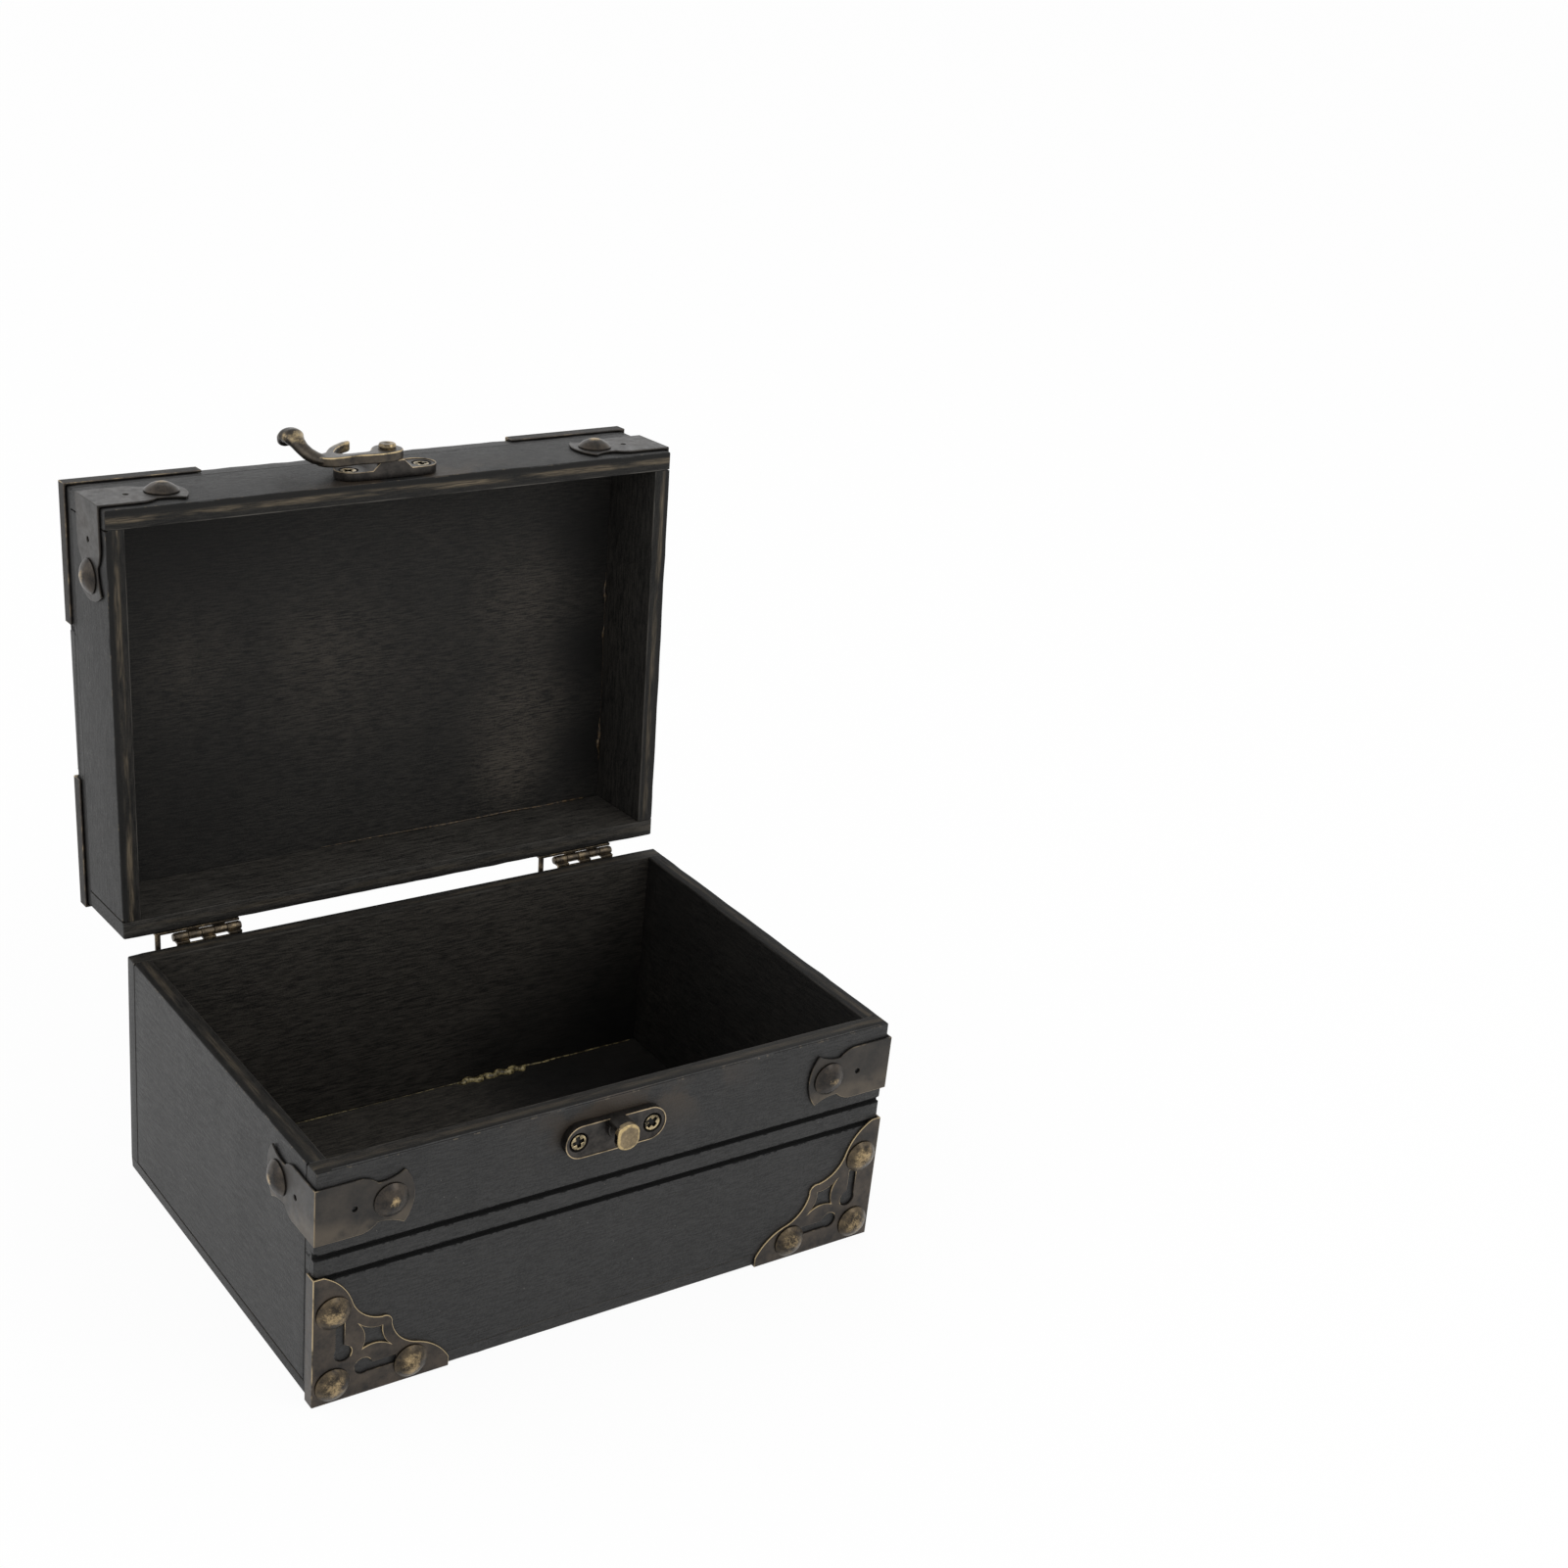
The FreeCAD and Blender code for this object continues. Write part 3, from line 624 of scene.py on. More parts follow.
# Places on the lid's inner face where the stain is thinly laid and lighter, and patches of painted shade along
# its right wall and in its left corners
lid_patches = [((x, y, top_under), radius, shade, strength) for x, y, radius, shade, strength in (
    (0.049, 0.021, 0.026, THIN_STAIN, 0.85),
    (0.045, 0.038, 0.018, THIN_STAIN, 0.90),
    (-0.009, -0.006, 0.026, THIN_STAIN, 0.32),
    (-0.050, -0.008, 0.024, THIN_STAIN, 0.30),
    (0.048, -0.012, 0.026, THIN_STAIN, 0.62),
    (0.070, -0.030, 0.024, PAINTED_SHADE_DARK, 0.7),
    (0.070, 0.006, 0.020, PAINTED_SHADE_DARK, 0.75),
    (0.070, 0.034, 0.020, PAINTED_SHADE_DARK, 0.75),
    (-0.050, -0.040, 0.040, PAINTED_SHADE_DARK, 0.5),
    (-0.055, 0.038, 0.040, PAINTED_SHADE_DARK, 0.4),
)]


def swing_open(piece):
    piece.matrix_world = lid_swing @ piece.matrix_world
    settle(piece)


# The next to last column scales each board's inside shades as painted light and shade
for count, (node, low, high, grain, outside, inner, rim, painted_light_scale, bare) in enumerate((
    ("lid_top", (-half_width, -half_depth, top_under), (half_width, half_depth, top_over),
     ALONG_X, {FRONT, BACK, LEFT, RIGHT, OVER}, (2, top_under), None, 1.0, 0.0),
    ("lid_front", (-half_width, -half_depth, lid_rim), (half_width, -inner_y, top_under),
     ALONG_X, {FRONT, LEFT, RIGHT, UNDER}, FRONT_INSIDE, UNDER, 1.18, 1.0),
    ("lid_back", (-half_width, inner_y, lid_rim), (half_width, half_depth, top_under),
     ALONG_X, {BACK, LEFT, RIGHT, UNDER}, BACK_INSIDE, UNDER, 2.65, 0.25),
    ("lid_left", (-half_width, -inner_y, lid_rim), (-inner_x, inner_y, top_under),
     ALONG_Y, {LEFT, UNDER}, LEFT_INSIDE, UNDER, 1.07, 0.9),
    ("lid_right", (inner_x, -inner_y, lid_rim), (half_width, inner_y, top_under),
     ALONG_Y, {RIGHT, UNDER}, RIGHT_INSIDE, UNDER, 1.15, 0.8),
)):
    seed = lid_seed + count
    saws, cuts, patches, thickness = [], [], (), wall
    if node == "lid_top":
        patches, thickness = lid_patches, top_board
        for y in top_cuts:
            saws.append(((-half_width - overrun, y - cut_half, top_over - cut_deep),
                         (half_width + overrun, y + cut_half, top_over + overrun)))
            cuts.append((1, y))
    if inner in (LEFT_INSIDE, RIGHT_INSIDE):
        saws += joint_gaps(low, high, inner, OVER)
    board = planed_board("board_" + node, low, high, outside, inner, rim, saws)
    swing_open(board)
    stain = stained_outside("stain_" + node, grain, inner, seed, True, thickness, cuts, lid_sheen)
    inside = stained_inside("inside_" + node, grain, inner, seed, True, LID_INSIDE, painted_light_scale, bare, patches)
    board.data.materials.append(stain)
    board.data.materials.append(inside)
    finish_piece(board, node, "lid")

lid_back_glue = (
    (-14.0, 0.15), (2.0, 0.4), (14.0, 0.3), (25.0, 0.55), (36.0, 0.4), (46.0, 0.65), (55.0, 0.45), (64.0, 0.7),
    (70.0, 0.3),
)
lid_right_glue = (
    (-17.0, 0.05), (-14.0, 0.3), (-12.0, 0.9), (-9.5, 1.1), (-7.0, 0.2), (-3.0, 0.05), (-0.5, 0.3), (1.0, 0.9),
    (3.0, 0.3), (6.0, 0.05), (26.0, 0.05), (29.0, 0.4), (31.0, 1.2), (33.0, 0.9), (34.5, 1.3), (37.0, 0.3),
    (40.0, 0.05),
)
stained_glue = glue_finish("stained_glue", STAINED_GLUE_DARK, STAINED_GLUE_PALE)
for name, run, seam, along, away in (
    ("glue_lid_back", lid_back_glue, (0, inner_y, top_under), (1, 0, 0), (0, -1, 0)),
    ("glue_lid_right", lid_right_glue, (inner_x, 0, top_under), (0, 1, 0), (-1, 0, 0)),
):
    glue = glue_bead(name, run, seam, along, away, (0, 0, -1))
    swing_open(glue)
    glue.data.materials.append(stained_glue)
    finish_piece(glue, "lid_top", "lid")

# Corner plates and bands: thin pressed sheet, bronzed dark and lacquered. The plates are rubbed to brass
# along the scrolled and folded edges; the bands keep a dull edge and a small pin hole. The lid's plates and
# bands, and most the folded lips of its plates, are painted darker as shade; the band edges carry a painted
# highlight as well as wear, and the base bands grow paler towards the bottom.
SHEET_DARK = (0.018, 0.0155, 0.0135, 1)
SHEET_BROWN = (0.074, 0.057, 0.042, 1)
# The lid's copy of the plate face, darker: painted shade
LID_SHEET_SHADED = (0.050, 0.039, 0.029, 1)
# Painted shade: the folded lips of the lid's plates are darker than their faces
LIP_SHADE_DARK = (0.010, 0.009, 0.008, 1)
LIP_SHADE_BROWN = (0.026, 0.0215, 0.0175, 1)
BAND_DARK = (0.024, 0.0225, 0.021, 1)
BAND_BROWN = (0.056, 0.048, 0.040, 1)
# The lid's copy of the band face, darker: painted shade
LID_BAND_SHADED = (0.044, 0.038, 0.033, 1)
# A paler shade coming in towards the bottom of the base bands
BAND_PALER_BELOW = (0.092, 0.076, 0.058, 1)
# Pale band edges: partly wear, partly painted highlight
BAND_EDGE_WEAR_AND_HIGHLIGHT = (0.240, 0.190, 0.125, 1)
BRASS = (0.480, 0.370, 0.210, 1)
sheet_ease, fold_near, fold_line = 0.00019, 0.0002, 0.0012
plate_arm, plate_near, plate_far, plate_lip = 0.03535, 0.0046, 0.02496, 0.0032
# Shares of a plate's arm, from its corner
foot_share, scroll_middle = 0.02, (0.31, 0.56)
pierced_across, pierced_along = (0.13, 0.26), (0.27, 0.62)
band_fade, band_low = 0.0520, 0.0475
speck_finer, speck_part, cloud_wear, low_level = 6, 0.3, 1.4, (0.35, 0.60)
coat_rough, patina_bump = 0.35, (0.18, 0.00012)
merge_within, flat_within = 1e-6, 2


def bronzed(name, dark, brown, bright, on_lid, scale, rough=(0.30, 0.48), coat=0.4, metal=0.9, speckle=0.0,
            paler_below=None, bare=(0.40, 0.95)):
    """Bronze patina that gives way to bright metal where the piece's rubbed attribute is high.
    scale: how fine its clouds are; speckle: how far fine specks break up the wear.
    paler_below: a paler shade and the heights between which it comes in downwards.
    bare: the wear at which metal starts to show, and that at which no patina is left."""
    material, tree, shader = new_finish(name)
    place = shut_place(tree, on_lid)
    cloud = noise_node(tree, place, scale, 5.0, 0.6, None, 2.0)
    speck = noise_node(tree, place, scale * speck_finer, 4.0, 0.65, None, 5.0)
    tone = total(tree, product(tree, cloud, 1 - speck_part), product(tree, speck, speck_part))
    colour = ramp_node(tree, tone, [(0.38, dark), (0.62, brown)])
    if paler_below:
        pale, none, full = paler_below
        height = split_place(tree, place)[2]
        lower = product(tree, fade(tree, height, none, full), fade(tree, cloud, *low_level))
        colour = mix_colours(tree, lower, colour, pale)
    if bright:
        clouding = product(tree, math_node(tree, "SUBTRACT", cloud, 0.5), cloud_wear)
        specking = product(tree, math_node(tree, "SUBTRACT", speck, 0.5), speckle)
        worn = total(tree, total(tree, mark_node(tree, "rubbed"), clouding), specking)
        colour = mix_colours(tree, fade(tree, worn, *bare), colour, bright)
    link(tree, colour, shader.inputs["Base Color"])
    shader.inputs["Metallic"].default_value = metal
    link(tree, ramp_node(tree, speck, [(0.3, rough[0]), (0.7, rough[1])]), shader.inputs["Roughness"])
    shader.inputs["Coat Weight"].default_value = coat
    shader.inputs["Coat Roughness"].default_value = coat_rough
    grain_bump(tree, shader, total(tree, speck, cloud), *patina_bump)
    return material


def mark_rubbed(piece, amount):
    """Keeps, for each point of the piece, how far it is rubbed to bare metal."""
    keep_on_points(piece.data, "rubbed", [amount(vertex) for vertex in piece.data.vertices])


def copy_of_solid(node, name):
    bpy.ops.object.select_all(action="DESELECT")
    piece = add_object(name, frame["nodes"][node].data.copy())
    piece.data.materials.clear()
    pick(piece)
    bpy.ops.object.mode_set(mode="EDIT")
    bpy.ops.mesh.select_all(action="SELECT")
    bpy.ops.mesh.remove_doubles(threshold=merge_within)
    bpy.ops.mesh.dissolve_limited(angle_limit=math.radians(flat_within))
    bpy.ops.object.mode_set(mode="OBJECT")
    return piece


def plate_wear(x, y, z, on_lid):
    """How far each edge of a corner plate is rubbed: scroll and folds most, the cut-outs and the foot least."""
    u = (half_width - abs(x)) / plate_arm
    v = (half_depth - abs(y) if on_lid else z) / plate_arm
    if on_lid and z < top_over - fold_near:
        return 0.45 if z < top_over - plate_lip + 2 * fold_near else 0.2
    if not on_lid and (y > -half_depth + fold_near or v < foot_share):
        return 0.5
    near, far = min(u, v), max(u, v)
    if scroll_middle[0] < near and far < scroll_middle[1]:
        return 0.75
    if pierced_across[0] < near < pierced_across[1] and pierced_along[0] < far < pierced_along[1]:
        return 0.35
    return 1.0


def band_wear(x, y, z, on_lid):
    """A band's edges are rubbed, and painted with a highlight, along its fold and lower edge, and on the lid
    hardly at all.
    """
    if on_lid:
        return 0.2
    fold = abs(x) > half_width + fold_near and abs(y) > half_depth + fold_near
    return 0.85 if fold or z < band_low else 0.42


def pressed_sheet(node, on_lid, face_finish, edge_finish, lip_shade=None):
    piece = copy_of_solid(node, "pressed_" + node)
    piece.data.materials.append(face_finish)
    piece.data.materials.append(edge_finish)
    if node.startswith("base_strap"):
        # Lines beside the fold keep its wear from spreading along the band
        side_line = math.copysign(half_width - fold_line, piece.data.vertices[0].co.x)
        bpy.ops.object.mode_set(mode="EDIT")
        slice_mesh((side_line, 0, 0), (1, 0, 0))
        slice_mesh((0, fold_line - half_depth, 0), (0, 1, 0))
        bpy.ops.object.mode_set(mode="OBJECT")
    ease_edges(piece, sheet_ease, 2, 38, 1)
    to_shut = lid_swing.inverted() if on_lid else Matrix()
    wear = plate_wear if "plate" in node else band_wear
    mark_rubbed(piece, lambda vertex: wear(*(to_shut @ vertex.co), on_lid))
    # The lips of the lid's plates take the darker finish: painted shade
    if lip_shade:
        piece.data.materials.append(lip_shade)
        for face in piece.data.polygons:
            if face.material_index == 0 and (to_shut @ face.center).z < top_over - fold_near:
                face.material_index = 2
    bpy.ops.object.shade_flat()
    return piece


base_corners, lid_corners = ("left", "right"), ("front_left", "front_right", "back_left", "back_right")
base_band_paling = (BAND_PALER_BELOW, band_fade, band_low)
# Painted shade: a darker copy of the plate finish for the lid plates' folded lips
lid_lip_shade = bronzed("plate_lip_lid", LIP_SHADE_DARK, LIP_SHADE_BROWN, None, True, 200, (0.5, 0.65), coat=0.0, metal=0.5)
# The lid's plate and band finishes are darker copies, with a thinner coat on its bands: painted shade
for body, corners, plate_brown, band_brown, lip_shade, band_coat, paler_below in (
    ("base", base_corners, SHEET_BROWN, BAND_BROWN, None, 0.25, base_band_paling),
    ("lid", lid_corners, LID_SHEET_SHADED, LID_BAND_SHADED, lid_lip_shade, 0.1, None),
):
    on_lid = body == "lid"
    plate_face = bronzed("plate_bronze_" + body, SHEET_DARK, plate_brown, None, on_lid, 140)
    plate_edge = bronzed("plate_edge_" + body, SHEET_DARK, SHEET_BROWN, BRASS, on_lid, 260)
    band_face = bronzed("band_bronze_" + body, BAND_DARK, band_brown, None, on_lid, 90, coat=band_coat,
                        paler_below=paler_below)
    band_edge = bronzed("band_edge_" + body, BAND_DARK, BAND_BROWN, BAND_EDGE_WEAR_AND_HIGHLIGHT, on_lid, 260, coat=0.2)
    for corner in corners:
        node = body + "_corner_plate_" + corner
        plate = pressed_sheet(node, on_lid, plate_face, plate_edge, lip_shade)
        finish_piece(plate, node, body)
    for side in ("left", "right"):
        node = body + "_strap_" + side
        band = pressed_sheet(node, on_lid, band_face, band_edge)
        finish_piece(band, node, body)

# Domed nails: cast heads on pointed shanks, driven through the sheet; dark in the hollows and along the rim,
# rubbed to brass on the crown, those of the bands hardly. One is modelled and then set at every place.
NAIL_DARK = (0.020, 0.0150, 0.0100, 1)
NAIL_BROWN = (0.120, 0.088, 0.050, 1)
NAIL_BRASS = (0.430, 0.315, 0.165, 1)
DULL_DARK = (0.015, 0.0130, 0.0115, 1)
DULL_BROWN = (0.060, 0.047, 0.035, 1)
TO_FRONT, TO_BACK, UPWARD = (0, -1, 0), (0, 1, 0), (0, 0, 1)
nail_r, nail_rise, nail_rim, nail_seat = 0.0045, 0.0021, 0.00025, 0.0006
shank_r, shank_long, point_long, point_share = 0.0007, 0.0042, 0.0006, 0.15
dent_size, dent_depth, dent_level, dent_start = 0.0014, 0.00022, 0.6, 0.0001
nail_sphere = (nail_r ** 2 + nail_rise ** 2) / (2 * nail_rise)
dome_foot = nail_seat + nail_rim
nail_twist, nail_cloud, nail_rough = 1.9, 420, (0.28, 0.46)
gilt_wear, dull_wear, dull_power = 0.72, 0.8, 6
plate_up, band_nail, base_band_z, lid_band_z = 0.0006, 0.0185, 0.0525, 0.0740


def pull_edges(by, grow=1.0):
    """Draws the selected edge loop out along Z, then widens or narrows it."""
    bpy.ops.mesh.extrude_edges_move(TRANSFORM_OT_translate={"value": (0, 0, by)})
    if grow != 1.0:
        bpy.ops.transform.resize(value=(grow, grow, 1), center_override=(0, 0, 0))


def turn_outwards():
    """In edit mode, turns all faces outwards, and goes back to object mode."""
    bpy.ops.mesh.select_all(action="SELECT")
    bpy.ops.mesh.normals_make_consistent(inside=False)
    bpy.ops.object.mode_set(mode="OBJECT")


def set_on(pattern, name, spot, out, up, twist=0.0, on_lid=False):
    """A copy of a fastener modelled along Z, set at a spot and pointing out of the face there."""
    piece = add_object(name, pattern.copy())
    out, up = Vector(out), Vector(up)
    turn = Matrix((up.cross(out), up, out)).transposed().to_4x4()
    piece.matrix_world = Matrix.Translation(Vector(spot)) @ turn @ Matrix.Rotation(twist, 4, "Z")
    settle(piece)
    if on_lid:
        swing_open(piece)
    return piece


def dome_share(vertex):
    """How far up the dome a point of the nail is."""
    return max(0.0, (vertex.co.z - dome_foot) / nail_rise)


bpy.ops.object.select_all(action="DESELECT")
bpy.ops.mesh.primitive_uv_sphere_add(segments=36, ring_count=48, radius=nail_sphere,
                                     location=(0, 0, dome_foot + nail_rise - nail_sphere))
nail = bpy.context.active_object
settle(nail)
bpy.ops.object.mode_set(mode="EDIT")
slice_mesh((0, 0, dome_foot), UPWARD, clear_inner=True)
pull_edges(-nail_rim)
pull_edges(0, shank_r / nail_r)
pull_edges(-shank_long)
pull_edges(-point_long, point_share)
bpy.ops.mesh.edge_face_add()
turn_outwards()
head = [v.index for v in nail.data.vertices if v.co.z > dome_foot + dent_start]
dent(nail, "nail_dents", head, dent_size, dent_depth, dent_level)
mark_rubbed(nail, lambda vertex: dome_share(vertex) * gilt_wear)
smooth(nail, 40)
gilt_nail, dull_nail = nail.data, nail.data.copy()
crown = [dome_share(vertex) ** dull_power * dull_wear for vertex in dull_nail.vertices]
keep_on_points(dull_nail, "rubbed", crown)

base_spots, lid_spots = [], []
for side in (-1, 1):
    for u, v in ((plate_near, plate_near), (plate_far, plate_near), (plate_near, plate_far)):
        x = side * (half_width - u)
        base_spots.append(("base_corner_nails", (x, -half_depth, plate_up + v), TO_FRONT, UPWARD))
        for end in (-1, 1):
            lid_spots.append(("lid_corner_nails", (x, end * (half_depth - v), top_over), UPWARD, TO_BACK))
    for spots, node, z in (
        (base_spots, "base_strap_nails", base_band_z),
        (lid_spots, "lid_strap_nails", lid_band_z),
    ):
        spots.append((node, (side * (half_width - band_nail), -half_depth, z), TO_FRONT, UPWARD))
        spots.append((node, (side * half_width, band_nail - half_depth, z), (side, 0, 0), UPWARD))
for body, spots in (("base", base_spots), ("lid", lid_spots)):
    on_lid = body == "lid"
    gilt = bronzed("nail_bronze_" + body, NAIL_DARK, NAIL_BROWN, NAIL_BRASS, on_lid, nail_cloud, nail_rough,
                   coat=0.3, speckle=1.1, bare=(0.40, 1.05))
    dull = bronzed("nail_dull_" + body, DULL_DARK, DULL_BROWN, NAIL_BRASS, on_lid, nail_cloud, nail_rough,
                   coat=0.3, speckle=0.8)
    for count, (node, spot, out, up) in enumerate(spots):
        on_band = "strap" in node
        name = "nail_%s_%d" % (body, count + 1)
        piece = set_on(dull_nail if on_band else gilt_nail, name, spot, out, up, nail_twist * count, on_lid)
        piece.data.materials.append(dull if on_band else gilt)
        finish_piece(piece, node, body)
bpy.data.objects.remove(nail)

# Hook latch: two cast plates with a raised, rubbed rim, each held by two countersunk cross-head screws.
# The upper one is bridged under the hook; the lower one carries a boss for the knob. The screw seats are
# painted dark, as shade.
CAST_DARK = (0.018, 0.0165, 0.0155, 1)
CAST_BROWN = (0.058, 0.051, 0.045, 1)
CAST_RIM = (0.500, 0.390, 0.245, 1)
# Painted shade in the screw seats and on the knob's flats; the darker one is also the screws' own dark patina
SHADE_AND_PATINA_DARK = (0.004, 0.0036, 0.003, 1)
RECESS_SHADE_BROWN = (0.010, 0.0090, 0.0080, 1)
latch_x, hasp_z, catch_z, post_z = -0.0027, 0.0710, 0.0549, 0.0566
plate_half, plate_half_height, plate_thick, plate_ease = 0.01405, 0.00455, 0.0022, 0.00012
rim_wide, rim_proud, rim_line, rim_slack = 0.00030, 0.00030, 0.00020, 0.00008
bridge_top, bridge_foot, bridge_rise = 0.0032, 0.0055, 0.0022
screw_out, screw_seat = 0.0103, 0.0027
seat_foot_r, seat_top_r, seat_high, seat_drop, seat_slack = 0.0015, 0.0031, 0.0018, 0.0007, 0.00002
hair, upright_least, rim_rub = 1e-5, 0.001, 0.74
boss_r, boss_top_r, boss_high, boss_ease = 0.0029, 0.0027, 0.0030, 0.0003
cast_finish, painted_shade_finish = {}, {}
for body in ("base", "lid"):
    cast_finish[body] = bronzed("latch_bronze_" + body, CAST_DARK, CAST_BROWN, CAST_RIM, body == "lid", 260,
                                (0.34, 0.52), coat=0.15)
    painted_shade_finish[body] = bronzed("recess_" + body, SHADE_AND_PATINA_DARK, RECESS_SHADE_BROWN, None, body == "lid", 500,
                                  (0.5, 0.7), coat=0.0)


def share(value, none, full):
    """0 at none, 1 at full, in proportion between."""
    return min(1.0, max(0.0, (value - none) / (full - none)))


def is_upright(ends):
    return abs(ends[0].z - ends[1].z) > upright_least


def rim_wear(vertex, bridged):
    """A latch plate is rubbed along the top of its rim."""
    x, y, z = vertex.co
    run = max(0.0, abs(x) - (plate_half - plate_half_height))
    inset = plate_half_height - math.hypot(run, y)
    lift = bridge_rise * share(abs(x), bridge_foot, bridge_top) if bridged else 0.0
    on_top = -0.8 * rim_line < z - plate_thick - lift < rim_proud
    return rim_rub if inset < rim_wide + rim_slack and on_top else 0.0


def latch_plate(name, bridged):
    plate = block(name, (-plate_half, -plate_half_height, 0), (plate_half, plate_half_height, plate_thick))
    round_edges(plate, is_upright, plate_half_height - hair, 12)
    bpy.ops.object.mode_set(mode="EDIT")
    for x in (-bridge_foot, -bridge_top, bridge_top, bridge_foot):
        slice_mesh((x, 0, 0), (1, 0, 0))
    slice_mesh((0, 0, plate_thick - rim_line), UPWARD)
    bpy.ops.object.mode_set(mode="OBJECT")
    pick_parts(plate, "FACE", lambda face: face.normal.z > 0.9)
    bpy.ops.mesh.inset(thickness=rim_wide, depth=0, use_boundary=True, use_even_offset=True)
    bpy.ops.mesh.extrude_region_move(TRANSFORM_OT_translate={"value": (0, 0, -rim_proud)})
    bpy.ops.object.mode_set(mode="OBJECT")
    if bridged:
        pick_parts(plate, "VERT", lambda v: abs(v.co.x) < bridge_top + hair and v.co.z > plate_thick / 2)
        bpy.ops.transform.translate(value=(0, 0, bridge_rise))
        bpy.ops.object.mode_set(mode="OBJECT")
    for side in (-1, 1):
        bpy.ops.mesh.primitive_cone_add(vertices=40, radius1=seat_foot_r, radius2=seat_top_r, depth=seat_high,
                                        location=(side * screw_out, 0, plate_thick - seat_drop))
        combine(plate, bpy.context.active_object, "DIFFERENCE")
    ease_edges(plate, plate_ease, 2, 30)
    return plate


def darken_seats(plate):
    """Painted shade: the screw seats take the dark second slot."""
    for face in plate.data.polygons:
        x, y, z = face.center
        seat = min(math.hypot(x - side * screw_out, y) for side in (-1, 1))
        sunk = z < plate_thick - rim_proud - seat_slack
        face.material_index = 1 if seat < screw_seat and sunk else 0


def on_front(piece, x, z, on_lid=False):
    piece.matrix_world = Matrix.Translation((x, -half_depth, z)) @ Matrix.Rotation(math.radians(90), 4, "X")
    settle(piece)
    if on_lid:
        swing_open(piece)


hasp = latch_plate("cast_hasp_plate", True)
catch = latch_plate("cast_catch_plate", False)
bpy.ops.mesh.primitive_cone_add(vertices=40, radius1=boss_r, radius2=boss_top_r, depth=boss_high,
                                location=(0, post_z - catch_z, boss_high / 2))
boss = bpy.context.active_object
settle(boss)
ease_edges(boss, boss_ease, 3, 30)
combine(catch, boss, "UNION")
for piece, node, z, body in ((hasp, "hasp_plate", hasp_z, "lid"), (catch, "catch_plate", catch_z, "base")):
    piece.data.materials.clear()
    piece.data.materials.append(cast_finish[body])
    piece.data.materials.append(painted_shade_finish[body])
    darken_seats(piece)
    mark_rubbed(piece, lambda vertex: rim_wear(vertex, body == "lid"))
    smooth(piece, 30)
    on_front(piece, latch_x, z, body == "lid")
    finish_piece(piece, node, body)

# Knob of the catch: a cast brass button with two flat sides and a slightly hollowed face, bright on the face,
# on a neck set off-centre so that the claw has room below it. Its flats and the underside of its head are
# painted near black, and its neck dark, as shade.
KNOB_DARK = (0.130, 0.098, 0.057, 1)
KNOB_BROWN = (0.300, 0.228, 0.128, 1)
KNOB_BRASS = (0.540, 0.405, 0.195, 1)
knob_r, knob_flat, knob_brow, brow_lean = 0.0035, 0.0031, 0.0033, 22
knob_under, knob_thick, knob_round, round_steps = 0.0060, 0.0016, 0.0005, 5
knob_face, knob_side = knob_under + knob_thick, knob_thick - knob_round
hollow = ((0.88, 0), (0.75, -0.00008))
neck_half, neck_low, neck_top, neck_round = 0.0026, 0.0008, 0.0029, 0.0008
neck_foot, neck_into, knob_slack = 0.0002, 0.0004, 0.00005


def push_faces(by, grow=1.0):
    """Draws the selected faces out along Z, then widens or narrows them."""
    bpy.ops.mesh.extrude_region_move(TRANSFORM_OT_translate={"value": (0, 0, by)})
    if grow != 1.0:
        bpy.ops.transform.resize(value=(grow, grow, 1), center_override=(0, 0, 0))


def knob_rub(vertex):
    """The knob is rubbed most round the edge of its face, and not at all below its head, which is painted dark
    as shade.
    """
    x, y, z = vertex.co
    reach = max(abs(x) / knob_flat, math.hypot(x, y) / knob_r)
    edge = 1 - knob_round / knob_flat - 0.03
    if z < knob_under + knob_slack:
        return -0.6
    return 0.78 if reach > edge and z > knob_face - 0.9 * knob_round else 0.32


bpy.ops.object.select_all(action="DESELECT")
bpy.ops.mesh.primitive_cylinder_add(vertices=64, radius=knob_r, depth=knob_side,
                                    location=(0, 0, knob_under + knob_side / 2))
knob = bpy.context.active_object
knob.name = "cast_catch_knob"
settle(knob)
bpy.ops.object.mode_set(mode="EDIT")
for side in (-1, 1):
    for lean, reach in ((0, knob_flat), (brow_lean, knob_brow), (-brow_lean, knob_brow)):
        outward = Vector((side * math.cos(math.radians(lean)), math.sin(math.radians(lean)), 0))
        slice_mesh(outward * reach, outward, use_fill=True, clear_outer=True)
bpy.ops.object.mode_set(mode="OBJECT")
pick_parts(knob, "FACE", lambda face: face.normal.z > 0.9)
rounding = [math.radians(90 / round_steps * step) for step in range(round_steps + 1)]
insets = [knob_flat - knob_round * (1 - math.cos(angle)) for angle in rounding]
rises = [knob_round * math.sin(angle) for angle in rounding]
for step in range(round_steps):
    push_faces(rises[step + 1] - rises[step], insets[step + 1] / insets[step])
for shrink, sink in hollow:
    push_faces(sink, shrink)
bpy.ops.object.mode_set(mode="OBJECT")
neck = block("neck", (-neck_half, neck_low, neck_foot), (neck_half, neck_top, knob_under + neck_into))
round_edges(neck, is_upright, neck_round, 4)
combine(knob, neck, "UNION")
mark_rubbed(knob, knob_rub)
smooth(knob, 35)
knob.data.materials.clear()
knob_finish = bronzed("knob_brass", KNOB_DARK, KNOB_BROWN, KNOB_BRASS, False, 300, (0.25, 0.42), coat=0.3,
                      speckle=0.6)
for finish in (knob_finish, painted_shade_finish["base"], cast_finish["base"]):
    knob.data.materials.append(finish)
